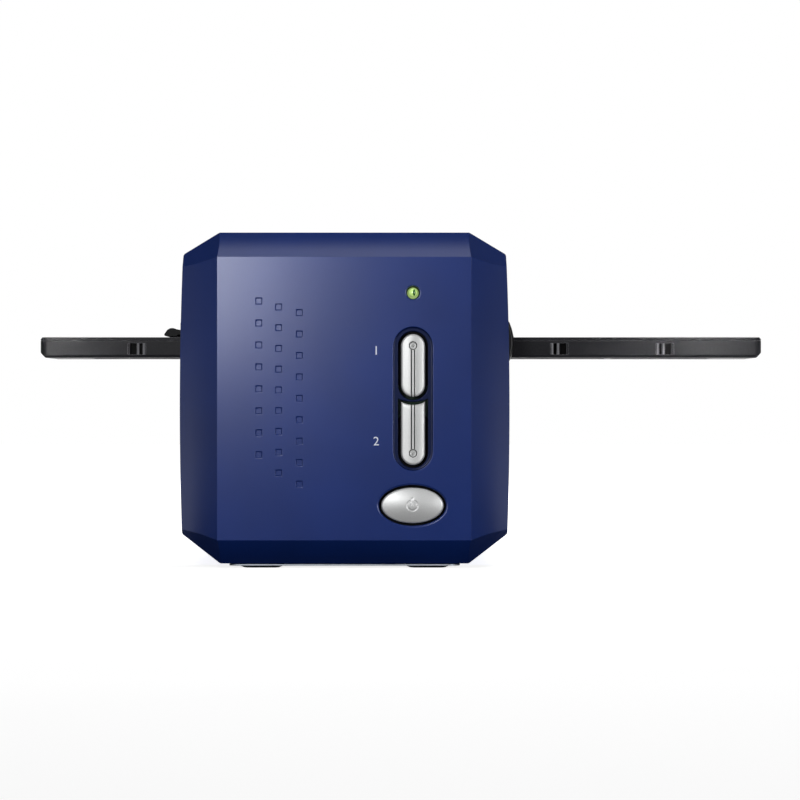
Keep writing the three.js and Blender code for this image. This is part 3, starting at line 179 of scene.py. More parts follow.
def ellipse(centre: Point, semi: Point, steps: int = 72) -> list[Point]:
    """A closed ellipse around a centre, from its two half-axes."""
    angles = [2 * math.pi * step / steps for step in range(steps)]
    return [(centre[0] + semi[0] * math.cos(a), centre[1] + semi[1] * math.sin(a)) for a in angles]


def rectangle(across: Span, up: Span, radius: float = 0.0, steps: int = 5) -> list[Point]:
    """A rectangle whose corners may be round.

    Args:
        across: From left to right.
        up: From bottom to top.
        radius: Radius of the corners.
        steps: Straight steps along each corner.

    Returns:
        The closed outline.
    """
    (x0, x1), (z0, z1) = across, up
    if radius <= 0:
        return [(x0, z0), (x1, z0), (x1, z1), (x0, z1)]
    corners = [
        ((x1 - radius, z0 + radius), -90),
        ((x1 - radius, z1 - radius), 0),
        ((x0 + radius, z1 - radius), 90),
        ((x0 + radius, z0 + radius), 180),
    ]
    return [point for centre, start in corners for point in arc(centre, radius, start, start + 90, steps)]


def racetrack(middle: float, centres: Span, radius: float, steps: int = 24) -> list[Point]:
    """A slot with round ends, standing upright.

    Args:
        middle: Where the slot's middle line stands.
        centres: Heights of the two arcs' centres.
        radius: Half the slot's width.
        steps: Straight steps along each arc.

    Returns:
        The closed outline.
    """
    upper = arc((middle, centres[1]), radius, 0, 180, steps)
    lower = arc((middle, centres[0]), radius, 180, 360, steps)
    return upper + lower


def rounded(points: Sequence[Point], radius: float, steps: int = 4, least_turn: float = 14) -> list[Point]:
    """Round every corner of a closed outline that turns more than a little.

    Args:
        points: The outline's corners in order.
        radius: Radius of the rounding, made smaller on short edges.
        steps: Straight steps along each rounding.
        least_turn: Corners that turn less than this, in degrees, stay as they are.

    Returns:
        The outline with arcs in place of its corners.
    """
    result: list[Point] = []
    for index, corner in enumerate(points):
        here = Vector(corner)
        back = Vector(points[index - 1]) - here
        ahead = Vector(points[(index + 1) % len(points)]) - here
        turn = math.pi - back.angle(ahead)
        if turn < math.radians(least_turn):
            result.append(corner)
            continue
        room = ROUNDING_SHARE * min(back.length, ahead.length)
        reach = min(radius * math.tan(turn / 2), room)
        real_radius = reach / math.tan(turn / 2)
        inward = (back.normalized() + ahead.normalized()).normalized()
        centre = here + inward * (real_radius / math.cos(turn / 2))
        first = here + back.normalized() * reach - centre
        last = here + ahead.normalized() * reach - centre
        for step in range(steps + 1):
            share = step / steps
            blend = first * math.sin((1 - share) * turn) + last * math.sin(share * turn)
            point = centre + blend / math.sin(turn)
            result.append((point.x, point.y))
    return result


def moved_in(points: Sequence[Point], distance: float) -> list[Point]:
    """Move each edge of a convex outline inwards.

    Args:
        points: The outline's corners in order.
        distance: How far each edge moves.

    Returns:
        The smaller outline.
    """
    count = len(points)
    corners = [Vector(point) for point in points]
    directions = [(corners[(i + 1) % count] - corners[i]).normalized() for i in range(count)]
    result = []
    for index in range(count):
        before, after = directions[index - 1], directions[index]
        normal_before = Vector((-before.y, before.x))
        normal_after = Vector((-after.y, after.x))
        share = distance / (1 + normal_before.dot(normal_after))
        point = corners[index] + (normal_before + normal_after) * share
        result.append((point.x, point.y))
    return result


class Draft:
    """A body under construction, in millimetres."""

    def __init__(self) -> None:
        """Start with nothing."""
        self.mesh = bmesh.new()

    def prism(self, axis: Axis, outline: Sequence[Point], span: Span) -> Draft:
        """Push an outline out along an axis over a span and close both ends."""
        low, high = sorted(span)
        return self.loft([[axis.place(u, v, along) for u, v in outline] for along in (low, high)])

    def box(self, x: Span, y: Span, z: Span) -> Draft:
        """Add a box between three spans."""
        return self.prism(Axis.Z, rectangle(tuple(sorted(x)), tuple(sorted(y))), z)

    def rod(self, axis: Axis, centre: Point, radius: float, span: Span, steps: int = 32) -> Draft:
        """Add a cylinder along an axis."""
        return self.prism(axis, circle(centre, radius, steps), span)

    def turned(self, axis: Axis, centre: Point, profile: Sequence[Point], steps: int = 40) -> Draft:
        """Add a turned body whose ends close flat.

        Args:
            axis: What it is turned around.
            centre: Where the axis runs.
            profile: Pairs of a radius and a distance along the axis.
            steps: Straight steps around it.

        Returns:
            This draft.
        """
        rings = []
        for radius, along in profile:
            ring = circle(centre, max(radius, NEAR), steps)
            rings.append([axis.place(u, v, along) for u, v in ring])
        return self.loft(rings)

    def loft(self, rings: Sequence[Sequence[Vector]]) -> Draft:
        """Stitch rings of equally many points and close the first and the last.

        Args:
            rings: The rings, each as its points in order.

        Returns:
            This draft.
        """
        layers = [[self.mesh.verts.new(point) for point in ring] for ring in rings]
        count = len(layers[0])
        self.mesh.faces.new(layers[0])
        self.mesh.faces.new(list(reversed(layers[-1])))
        for lower, upper in zip(layers, layers[1:]):
            for index in range(count):
                after = (index + 1) % count
                self.mesh.faces.new((lower[after], lower[index], upper[index], upper[after]))
        return self

    def grid(self, rows: Sequence[Sequence[Vector]]) -> list[list[bmesh.types.BMVert]]:
        """Add an open sheet of quads.

        Args:
            rows: Rows of points, equally many in each.

        Returns:
            The sheet's vertices, row by row.
        """
        sheet = [[self.mesh.verts.new(point) for point in row] for row in rows]
        for lower, upper in zip(sheet, sheet[1:]):
            for index in range(len(lower) - 1):
                self.mesh.faces.new((lower[index], lower[index + 1], upper[index + 1], upper[index]))
        return sheet

    def slice(self, point: Vector, outward: Vector) -> Draft:
        """Cut away everything on the outer side of a plane and close the cut.

        Args:
            point: A point of the plane.
            outward: The plane's direction, towards what goes.

        Returns:
            This draft.
        """
        parts = [*self.mesh.verts, *self.mesh.edges, *self.mesh.faces]
        cut = bmesh.ops.bisect_plane(
            self.mesh, geom=parts, dist=1e-5, plane_co=point, plane_no=outward, clear_outer=True
        )
        rim = [item for item in cut["geom_cut"] if isinstance(item, Edge)]
        if rim:
            bmesh.ops.contextual_create(self.mesh, geom=rim)
        return self

    def soften(self, width: float, segments: int, chosen: EdgeTest) -> Draft:
        """Round off some edges.

        Args:
            width: How far the rounding reaches over each face.
            segments: Straight steps across the rounding.
            chosen: Says which edges are rounded.

        Returns:
            This draft.
        """
        self.tidy()
        edges = [edge for edge in self.mesh.edges if edge.is_manifold and chosen(edge)]
        bmesh.ops.bevel(
            self.mesh,
            geom=edges,
            offset=width,
            offset_type="OFFSET",
            segments=segments,
            profile=0.5,
            affect="EDGES",
            clamp_overlap=True,
        )
        return self

    def tidy(self) -> Draft:
        """Weld doubled points and turn every face outwards.

        Returns:
            This draft.
        """
        bmesh.ops.remove_doubles(self.mesh, verts=self.mesh.verts[:], dist=NEAR / 4)
        bmesh.ops.recalc_face_normals(self.mesh, faces=self.mesh.faces[:])
        return self

    def data(self, name: str) -> bpy.types.Mesh:
        """Hand the draft over as mesh data and free it.

        Args:
            name: The mesh's name.

        Returns:
            The mesh.
        """
        self.tidy()
        mesh = bpy.data.meshes.new(name)
        self.mesh.to_mesh(mesh)
        self.mesh.free()
        return mesh


def turn_between(edge: Edge) -> float:
    """The angle in degrees between the two faces of an edge, and 0 on an open edge."""
    return math.degrees(edge.calc_face_angle(0.0))


def lies_along(edge: Edge, axis: Axis) -> bool:
    """Whether an edge runs along an axis.

    Args:
        edge: The edge.
        axis: The axis.

    Returns:
        True if it does.
    """
    run = edge.verts[1].co - edge.verts[0].co
    if run.length < NEAR:
        return False
    return abs(getattr(run, axis.value)) > (1 - NEAR) * run.length


def sharper_than(degrees: float) -> EdgeTest:
    """A test for edges that turn more than so many degrees."""
    return lambda edge: turn_between(edge) > degrees


def at_height(axis: Axis, *levels: float) -> EdgeTest:
    """A test for sharp edges that lie wholly on one of a few planes square to an axis.

    Args:
        axis: What the planes are square to.
        levels: Where along the axis the planes lie.

    Returns:
        The test.
    """

    def test(edge: Edge) -> bool:
        """Whether an edge is sharp and lies on one of the planes.

        Args:
            edge: The edge.

        Returns:
            True if it does.
        """
        places = [getattr(vert.co, axis.value) for vert in edge.verts]
        flat = any(all(abs(place - level) < 10 * NEAR for place in places) for level in levels)
        return flat and turn_between(edge) > SHARP

    return test


def link_new(name: str, data: bpy.types.ID) -> bpy.types.Object:
    """Put a new object into the scene.

    Args:
        name: The object's name.
        data: The mesh, curve, light or camera that it shows.

    Returns:
        The object.
    """
    new = bpy.data.objects.new(name, data)
    bpy.context.scene.collection.objects.link(new)
    return new


class Workpiece:
    """A closed body on its way to becoming a finished piece."""

    def __init__(self, name: str, draft: Draft) -> None:
        """Take a draft over as the starting stock.

        Args:
            name: The piece's name.
            draft: The stock.
        """
        self.name = name
        self.mesh = draft.data(name)
        self.steps: list[tuple[bpy.types.Mesh, Cut]] = []

    def apply(self, action: Cut, *drafts: Draft) -> Workpiece:
        """Queue closed bodies that act on the stock.

        Args:
            action: Whether they cut or join it.
            drafts: The bodies, in order.

        Returns:
            This workpiece.
        """
        for number, draft in enumerate(drafts):
            self.steps.append((draft.data(f"{self.name}_tool_{number}"), action))
        return self

    def settle(self) -> Workpiece:
        """Work out the queued cuts and joins.

        Returns:
            This workpiece.
        """
        if not self.steps:
            return self
        stock = link_new(f"{self.name}_stock", self.mesh)
        helpers = [stock]
        for number, (mesh, action) in enumerate(self.steps):
            tool = link_new(f"{self.name}_tool_{number}", mesh)
            helpers.append(tool)
            boolean = stock.modifiers.new(f"step_{number}", "BOOLEAN")
            boolean.object = tool
            boolean.operation = action.value
            boolean.solver = "MANIFOLD"
        graph = bpy.context.evaluated_depsgraph_get()
        self.mesh = bpy.data.meshes.new_from_object(stock.evaluated_get(graph))
        for helper in helpers:
            spent = helper.data
            bpy.data.objects.remove(helper)
            bpy.data.meshes.remove(spent)
        self.steps = []
        return self

    def soften(self, width: float, segments: int, chosen: EdgeTest) -> Workpiece:
        """Round off some edges of the settled body.

        Args:
            width: How far the rounding reaches over each face.
            segments: Straight steps across the rounding.
            chosen: Says which edges are rounded.

        Returns:
            This workpiece.
        """
        self.settle()
        draft = Draft()
        draft.mesh.from_mesh(self.mesh)
        parts = {"verts": draft.mesh.verts[:], "edges": draft.mesh.edges[:]}
        bmesh.ops.dissolve_limit(draft.mesh, angle_limit=FLAT_LIMIT, **parts)
        draft.soften(width, segments, chosen)
        bpy.data.meshes.remove(self.mesh)
        self.mesh = draft.data(self.name)
        return self

    def finish(self, body: str | None, slot: str, finish: Material, *replaces: str,
               x: float = HOUSING_X) -> bpy.types.Object:
        """Turn the body into a piece of the model.

        Args:
            body: Name of the moving body that it rides on, or None to attach it to none.
            slot: The record's material slot; not used.
            finish: Material of the whole piece.
            replaces: Frame nodes that it stands in for.
            x: Where the draft's x = 0 lies in the frame, in millimetres.

        Returns:
            The finished object.
        """
        self.settle()
        form = bmesh.new()
        form.from_mesh(self.mesh)
        bmesh.ops.dissolve_degenerate(form, dist=NEAR / 4, edges=form.edges[:])
        bmesh.ops.scale(form, vec=Vector((MILLIMETRE,) * 3), verts=form.verts[:])
        bmesh.ops.translate(form, vec=Vector((x * MILLIMETRE, 0, 0)), verts=form.verts[:])
        for face in form.faces:
            face.smooth = True
        for edge in form.edges:
            edge.smooth = edge.calc_face_angle(0.0) < SMOOTH_LIMIT
        form.to_mesh(self.mesh)
        form.free()
        self.mesh.materials.clear()
        self.mesh.materials.append(finish)
        piece = link_new(self.name, self.mesh)
        shading = piece.modifiers.new("flat_faces_stay_flat", "WEIGHTED_NORMAL")
        shading.keep_sharp = True
        if body:
            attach(piece, body)
        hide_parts(*replaces)
        log.info("%s: %d faces, rides on %s", self.name, len(self.mesh.polygons), body)
        return piece


@dataclass(frozen=True)
class CaseForm:
    """The eight-sided tube of the housing and the bevels around its front face."""

    depth: float = 270.0
    height: float = 119.0
    underside: float = 1.6
    wall: float = 2.4
    crown_half: float = 58.7
    hip: Point = (57.9, 11.9)
    shoulder: Point = (57.5, 111.5)
    top_half: float = 44.3
    bottom_half: float = 44.1
    side_bulge: float = 1.0
    side_steps: int = 16
    corner_round: float = 1.3
    crease_round: float = 0.5
    edge_round: float = 0.3
    face_half: float = 44.8
    face_low: float = 10.1
    face_high: float = 110.1
    bevel_depth: float = 8.5
    side_bevel_depth: float = 12.5
    upper_facet_z: float = 107.1
    lower_facet_z: float = 13.6
    pillow: float = 0.3
    pillow_steps: int = 5
    panel_depth: float = 22.0
    rear_panel_depth: float = 3.7
    parting: Span = (40.0, 40.3)

    @property
    def front(self) -> float:
        """Where the front face lies."""
        return -self.depth / 2

    @property
    def rear(self) -> float:
        """Where the rear face lies."""
        return self.depth / 2

    @property
    def front_joint(self) -> float:
        """Rear edge of the front panel."""
        return self.front + self.panel_depth

    @property
    def rear_joint(self) -> float:
        """Front edge of the rear panel."""
        return self.rear - self.rear_panel_depth

    def side_at(self, z: float) -> float:
        """Half-width of the crowned side at a height."""
        share = (z - self.hip[1]) / (self.shoulder[1] - self.hip[1])
        return mixed(self.hip[0], self.shoulder[0], share) + self.side_bulge * 4 * share * (1 - share)

    def outline(self, inwards: float = 0.0, corner: float | None = None) -> list[Point]:
        """The section across the housing.

        Args:
            inwards: How far every side is moved inwards.
            corner: Radius of the corners, or None for the housing's own.

        Returns:
            The closed outline.
        """
        right = [(self.bottom_half, self.underside)]
        for step in range(self.side_steps + 1):
            z = mixed(self.hip[1], self.shoulder[1], step / self.side_steps)
            right.append((self.side_at(z), z))
        right.append((self.top_half, self.height))
        points = right + [(-x, z) for x, z in reversed(right)]
        if inwards:
            points = moved_in(points, inwards)
        radius = self.corner_round if corner is None else corner
        return rounded(points, radius) if radius > 0 else points

    def side_bevel_at(self, x: float) -> float:
        """How far behind the face the side bevel lies at a distance from the middle."""
        return self.side_bevel_depth * (x - self.face_half) / (self.shoulder[0] - self.face_half)

    def _pillowed(self, low: Point, high: Point, steps: int) -> list[tuple[Point, Point]]:
        """A slightly crowned line.

        Args:
            low: Its first point.
            high: Its last point.
            steps: Number of straight steps.

        Returns:
            A point and an outward normal for each step.
        """
        run = Vector((high[0] - low[0], high[1] - low[1]))
        outward = Vector((-run.y, run.x)).normalized()
        chain = []
        for step in range(steps + 1):
            share = step / steps
            lift = self.pillow * 4 * share * (1 - share) if steps > 1 else 0.0
            chain.append(Vector(low) + run * share + outward * lift)
        pairs = []
        for first, second in zip(chain, chain[1:]):
            along = (second - first).normalized()
            pairs.append(((first.x, first.y), (-along.y, along.x)))
        return pairs

    def bevelled_end(self, inwards: float, back: float, soft: bool) -> Draft:
        """The housing's front end: four bevels and four corner facets.

        Args:
            inwards: How far every surface is moved inwards.
            back: Where the end stops towards the rear.
            soft: Whether the bevels are crowned and the edges rounded.

        Returns:
            The closed end.
        """
        corner = self.corner_round if soft else 0.0
        end = Draft().prism(Axis.Y, self.outline(inwards, corner), (self.front + inwards, back))
        steps = self.pillow_steps if soft else 1
        top = self._pillowed((0, self.face_high), (self.bevel_depth, self.height), steps)
        bottom = self._pillowed((0, -self.face_low), (self.bevel_depth, -self.underside), steps)
        for pairs, hand in ((top, 1), (bottom, -1)):
            for (depth, z), (back_part, up_part) in pairs:
                outward = Vector((0, back_part, hand * up_part))
                place = Vector((0, self.front + depth, hand * z)) - outward * inwards
                end.slice(place, outward)
        side = self._pillowed((0, self.face_half), (self.side_bevel_depth, self.shoulder[0]), steps)
        for hand in (-1, 1):
            for (depth, x), (back_part, out_part) in side:
                outward = Vector((hand * out_part, back_part, 0))
                place = Vector((hand * x, self.front + depth, 0)) - outward * inwards
                end.slice(place, outward)
            for corners in self._facets(hand):
                outward = (corners[1] - corners[0]).cross(corners[2] - corners[0]).normalized()
                if outward.y > 0:
                    outward.negate()
                end.slice(corners[0] - outward * inwards, outward)
        if soft:
            end.soften(self.crease_round, 3, self._front_edge)
            end.soften(self.edge_round, 2, at_height(Axis.Y, back))
        return end

    def _facets(self, hand: int) -> list[list[Vector]]:
        """The corner facets of one side.

        Args:
            hand: -1 for the left side, 1 for the right side.

        Returns:
            Three corners of the upper and of the lower facet.
        """
        facets = []
        rows = [
            (self.face_high, self.top_half, self.height, self.upper_facet_z),
            (self.face_low, self.bottom_half, self.underside, self.lower_facet_z),
        ]
        for face_z, edge_half, edge_z, facet_z in rows:
            side = self.side_at(facet_z)
            facets.append([
                Vector((hand * self.face_half, self.front, face_z)),
                Vector((hand * edge_half, self.front + self.bevel_depth, edge_z)),
                Vector((hand * side, self.front + self.side_bevel_at(side), facet_z)),
            ])
        return facets

    @staticmethod
    def _front_edge(edge: Edge) -> bool:
        """Whether an edge is one of the creases of the bevelled front."""
        return turn_between(edge) > CREASE and not lies_along(edge, Axis.Y)


@dataclass(frozen=True)
class Controls:
    """Places and sizes of the buttons, the lamp and the dimples in the front face."""

    x: float = 24.3
    half_width: float = 4.4
    upper: Span = (60.5, 83.0)
    lower: Span = (36.5, 59.2)
    dip: float = 1.1
    slit: float = 0.85
    recess_ends: Span = (34.7, 85.4)
    recess_radius: float = 6.95
    recess_depth: float = 0.6
    proud: float = 1.0
    power: Point = (24.1, 22.4)
    power_semi: Point = (11.0, 6.3)
    flange_y: Span = (-132.3, -131.1)
    stem_radius: float = 1.6
    stem_end: float = -127.6
    beads: Span = (40.8, 78.75)
    lamp: Point = (24.3, 97.5)
    lamp_hole: float = 2.35
    post_spread: float = 9.2
    post_heights: Span = (33.5, 89.5)
    post_radius: float = 2.0
    post_hole: float = 1.1
    post_end: float = -122.5
    dimple_size: float = 2.4
    dimple_floor: float = 1.75
    dimple_depth: float = 0.5
    dimple_corner: float = 0.28
    dimple_flare: Span = (0.14, 0.12)
    dimple_lip: float = 0.05
    dimple_toe: Point = (0.08, 0.06)
    dimple_columns: tuple[tuple[float, float, float, int], ...] = (
        (-30.1, 94.5, 7.75, 8),
        (-23.1, 92.4, 7.32, 9),
        (-15.8, 90.4, 7.56, 9),
    )

    def dip_circle(self, high: float, half: float) -> tuple[Point, float]:
        """Middle and radius of the circle that hollows the end of the lower button."""
        radius = (half * half + self.dip * self.dip) / (2 * self.dip)
        return (self.x, high + radius - self.dip), radius

    def lower_outline(self, margin: float, steps: int = 24) -> list[Point]:
        """The lower button's outline, with a round lower end and a hollow upper one.

        Args:
            margin: How far the outline is grown.
            steps: Straight steps along each arc.

        Returns:
            The closed outline.
        """
        half = self.half_width + margin
        low, high = self.lower[0] - margin, self.lower[1] + margin
        centre, radius = self.dip_circle(high, half)
        reach = math.degrees(math.asin(half / radius))
        foot = arc((self.x, low + half), half, 180, 360, steps)
        crown = arc(centre, radius, 270 + reach, 270 - reach, steps)
        return foot + crown

    def upper_outline(self, margin: float, steps: int = 24) -> list[Point]:
        """The upper button's outline, grown by a margin."""
        centres = (self.upper[0] + self.half_width, self.upper[1] - self.half_width)
        return racetrack(self.x, centres, self.half_width + margin, steps)

    def recess_centres(self) -> Span:
        """Heights of the arc centres of the recess around the two long buttons."""
        return (self.recess_ends[0] + self.recess_radius, self.recess_ends[1] - self.recess_radius)

    def recess_outline(self, margin: float) -> list[Point]:
        """The recess's outline, grown by a margin."""
        return racetrack(self.x, self.recess_centres(), self.recess_radius + margin)

    def power_outline(self, margin: float) -> list[Point]:
        """The power button's outline, grown by a margin."""
        return ellipse(self.power, (self.power_semi[0] + margin, self.power_semi[1] + margin))

    def stem(self, z: float) -> Draft:
        """The stem behind a key at a height, which reaches for the switch."""
        return Draft().rod(Axis.Y, (self.x, z), self.stem_radius, (self.flange_y[0], self.stem_end), 24)

    def post_places(self) -> list[Point]:
        """Middles of the four board posts."""
        return [(x, z) for x in around(self.x, self.post_spread) for z in self.post_heights]

    def dimple_places(self) -> list[Point]:
        """Middles of the small square dimples."""
        columns = self.dimple_columns
        return [(x, top - row * pitch) for x, top, pitch, count in columns for row in range(count)]


def sunk(outline_at: Callable[[float], list[Point]], front: float, profile: Sequence[Point]) -> Draft:
    """A cutter that goes in from the front face with a shaped rim.

    Args:
        outline_at: Gives the cutter's outline, grown by a margin.
        front: Where the front face lies.
        profile: (margin, depth) pairs from the outside inwards.

    Returns:
        The closed cutter.
    """
    rings = []
    for margin, depth in profile:
        rings.append([Axis.Y.place(u, v, front + depth) for u, v in outline_at(margin)])
    return Draft().loft(rings)


def round_rim(margin: float, radius: float, steps: int = 4) -> list[Point]:
    """The part of a cutter that rounds the edge of a hole.

    Args:
        margin: How far the hole is wider than its outline.
        radius: Radius of the rounded edge.
        steps: Straight steps across it.

    Returns:
        (margin, depth) pairs from the outside inwards.
    """
    rim = [(margin + radius + 20 * NEAR, -OVERRUN), (margin + radius + 2 * NEAR, -NEAR)]
    for step in range(1, steps + 1):
        angle = math.pi / 2 * step / steps
        rim.append((margin + radius * (1 - math.sin(angle)), radius * (1 - math.cos(angle))))
    return rim


def dress(piece: bpy.types.Object, further: Material, chosen: Callable[[Vector], bool]) -> None:
    """Give some faces of a finished piece a further material.

    Args:
        piece: The finished piece.
        further: The material of the chosen faces.
        chosen: Tells from a face's middle, in body millimetres, whether it is one of them.
    """
    piece.data.materials.append(further)
    index = len(piece.data.materials) - 1
    for face in piece.data.polygons:
        middle = Vector(face.center) / MILLIMETRE
        middle.x -= HOUSING_X
        if chosen(middle):
            face.material_index = index


@dataclass(frozen=True)
class Opening:
    """A rectangular hole for a socket or for the lock."""

    middle: Point
    size: Point
    corner: float
    slack: float

    def outline(self) -> list[Point]:
        """The hole's outline, which is wider than the socket by the slack on each side."""
        (x, z), (width, height) = self.middle, self.size
        return rectangle(around(x, width / 2 + self.slack), around(z, height / 2 + self.slack), self.corner)


@dataclass
class Housing:
    """Front panel, covers, rear panel, base and feet."""

    form: CaseForm
    controls: Controls
    paint: Material
    recess_shade: Material
    base_paint: Material
    rubber: Material
    steel: Material
    window_y: Span = (-107.3, -42.7)
    window_z: Span = (72.6, 88.6)
    base_half: float = 41.0
    base_reach: float = 126.2
    base_z: Span = (0.8, 1.3)
    foot_half: Point = (7.8, 7.0)
    foot_profile: tuple[Point, ...] = ((2.4, 0.0), (1.6, 0.12), (0.5, 0.6), (0.0, 0.85), (0.0, 1.3))
    foot_grooves: tuple[float, ...] = (-3.2, 0.0, 3.2)
    foot_groove: Point = (4.6, 0.45)
    foot_corner: float = 1.2
    base_corner: float = 4.0
    window_corner: float = 1.0
    foot_place: Point = (29.5, 118.0)
    base_screw_place: Point = (40.0, 90.0)
    base_screw_face: float = 1.8
    base_screw: tuple[float, float, float] = (2.7, 1.1, 10.1)
    base_boss: Point = (4.0, 8.0)
    base_shank: Point = (1.6, 10.0)
    base_head: Point = (3.0, 3.2)
    base_sheet_hole: float = 3.7
    rear_screw_place: Point = (50.0, 62.0)
    rear_screw: tuple[float, float, float] = (2.6, 1.3, 8.0)
    rear_boss: float = 3.2
    rear_shank: float = 1.6
    rear_head: Point = (2.9, 1.6)
    rear_post_places: tuple[Point, ...] = ((-40.0, 46.0), (-40.0, 98.0), (40.0, 46.0), (40.0, 98.0))
    rear_post: float = 3.0
    rear_step: float = 0.8
    recess_slope: tuple[Point, ...] = (
        (0.3, -OVERRUN), (0.26, -NEAR), (0.1, 0.04), (0.0, 0.14), (-0.1, 0.34), (-0.24, 0.53),
    )
    recess_toe: Point = (-0.45, -0.7)
    recess_shade_edge: Point = (0.1, 0.2)
    slit_rim: float = 0.3
    power_rim: float = 0.75
    lamp_rim: float = 0.45
    edge_round: float = 0.3
    tube_round: float = 0.35
    seam_round: float = 0.25
    sheet_round: float = 0.12
    bore_corner: float = 0.8
    rear_holes: tuple[Opening, ...] = (
        Opening((-26.0, 56.0), (12.0, 10.9), 0.5, GAP),
        Opening((-4.0, 56.0), (11.0, 11.0), 0.5, GAP),
        Opening((30.0, 58.0), (7.0, 3.0), 0.8, 0.0),
    )
    main_board_rear: float = 115.6

    def build(self) -> None:
        """Make every piece of the housing."""
        self.front_panel()
        self.top_cover()
        self.bottom_cover()
        self.rear_panel()
        self.base_plate()
        self.feet()
        self.screws()

    def front_panel(self) -> None:
        """The bevelled front with its soft recess, openings, dimples and board posts."""
        form, parts = self.form, self.controls
        front = form.front
        wall_inner = front + form.wall
        panel = Workpiece("front_panel_shell", form.bevelled_end(0.0, form.front_joint, True))
        panel.apply(Cut.TAKE, form.bevelled_end(form.wall, form.front_joint + OVERRUN, False))
        floor = parts.recess_depth
        toe, end = self.recess_toe
        slope = [*self.recess_slope, (toe, floor), (end, floor + 10 * NEAR)]
        panel.apply(Cut.TAKE, sunk(parts.recess_outline, front, slope))
        deep = front + floor
        straight = [(parts.slit, form.wall + OVERRUN)]
        rim = round_rim(parts.slit, self.slit_rim, 3) + straight
        power_hole = sunk(parts.power_outline, front, round_rim(parts.slit, self.power_rim, 6) + straight)
        lamp_rim = round_rim(0.0, self.lamp_rim) + [(0.0, form.wall + OVERRUN)]
        lamp_hole = sunk(lambda margin: circle(parts.lamp, parts.lamp_hole + margin), front, lamp_rim)
        panel.apply(Cut.TAKE, sunk(parts.upper_outline, deep, rim), sunk(parts.lower_outline, deep, rim))
        panel.apply(Cut.TAKE, power_hole, lamp_hole)
        for place in parts.dimple_places():
            panel.apply(Cut.TAKE, self.dimple(place))
        for centre in parts.post_places():
            post = Draft().rod(Axis.Y, centre, parts.post_radius, (front + form.wall / 2, parts.post_end))
            hole = Draft().rod(Axis.Y, centre, parts.post_hole, (wall_inner, parts.post_end + OVERRUN), 20)
            panel.apply(Cut.JOIN, post).apply(Cut.TAKE, hole)
        piece = panel.finish("housing", "navy_paint", self.paint, "front_panel")
        # Painted shade: a darker navy on the faces inside the buttons' recess.
        dress(piece, self.recess_shade, self.in_recess)

    def in_recess(self, middle: Vector) -> bool:
        """Whether a face of the front panel lies in the buttons' recess.

        Args:
            middle: The face's middle.

        Returns:
            True if it does.
        """
        parts = self.controls
        depth = middle.y - self.form.front
        low, high = parts.recess_centres()
        off_line = math.hypot(middle.x - parts.x, middle.z - min(max(middle.z, low), high))
        least, margin = self.recess_shade_edge
        return least < depth < self.form.wall and off_line < parts.recess_radius + margin

    def dimple(self, place: Point) -> Draft:
        """The cutter of one small square dimple with sloping walls and soft corners.

        Args:
            place: The dimple's middle.

        Returns:
            The closed cutter.
        """
        parts = self.controls
        rim, floor, deep = parts.dimple_size / 2, parts.dimple_floor / 2, parts.dimple_depth
        (outer, inner), (toe, rise) = parts.dimple_flare, parts.dimple_toe
        steps = [(rim + outer, -OVERRUN), (rim + inner, -NEAR), (rim, parts.dimple_lip),
                 (floor + toe, deep - rise), (floor, deep)]
        rings = []
        for half, depth in steps:
            outline = rectangle(around(place[0], half), around(place[1], half), parts.dimple_corner, 3)
            rings.append([Axis.Y.place(u, v, self.form.front + depth) for u, v in outline])
        return Draft().loft(rings)

    def tube(self) -> Workpiece:
        """The hollow case between the front and the rear panel.

        Returns:
            The case, not yet parted.
        """
        form = self.form
        span = (form.front_joint + GAP, form.rear_joint - GAP)
        outer = Draft().prism(Axis.Y, form.outline(), span)
        outer.soften(self.tube_round, 2, at_height(Axis.Y, *span))
        bore_y = (span[0] - OVERRUN, span[1] + OVERRUN)
        bore = Draft().prism(Axis.Y, form.outline(form.wall, self.bore_corner), bore_y)
        return Workpiece("case", outer).apply(Cut.TAKE, bore)

    def slot_windows(self) -> Draft:
        """What opens both sides for the film holder."""
        reach = (-self.form.crown_half - OVERRUN, self.form.crown_half + OVERRUN)
        return Draft().prism(Axis.X, rectangle(self.window_y, self.window_z, self.window_corner, 4), reach)

    def top_cover(self) -> None:
        """The upper shell, above the parting line."""
        form = self.form
        cover = self.tube()
        cover.name = "top_cover_shell"
        wide = (-form.depth, form.depth)
        cover.apply(Cut.TAKE, Draft().box(wide, wide, (-form.height, form.parting[1])), self.slot_windows())
        cover.soften(self.seam_round, 2, at_height(Axis.Z, form.parting[1]))
        cover.finish("housing", "navy_paint", self.paint, "top_cover")

    def bottom_cover(self) -> None:
        """The lower shell, with the bosses that the base screws pass through."""
        form = self.form
        cover = self.tube()
        cover.name = "bottom_cover_shell"
        wide = (-form.depth, form.depth)
        cover.apply(Cut.TAKE, Draft().box(wide, wide, (form.parting[0], 2 * form.height)))
        boss_z = (form.underside + form.wall / 2, self.base_boss[1])
        for place in mirrored(self.base_screw_place):
            boss = Draft().rod(Axis.Z, place, self.base_boss[0], boss_z)
            shank = Draft().rod(Axis.Z, place, self.base_shank[0], (-OVERRUN, self.base_shank[1]), 20)
            head = Draft().rod(Axis.Z, place, self.base_head[0], (-OVERRUN, self.base_head[1]), 28)
            cover.apply(Cut.JOIN, boss).apply(Cut.TAKE, shank, head)
        cover.soften(self.seam_round, 2, at_height(Axis.Z, form.parting[0]))
        cover.finish("housing", "navy_paint", self.paint, "bottom_cover")

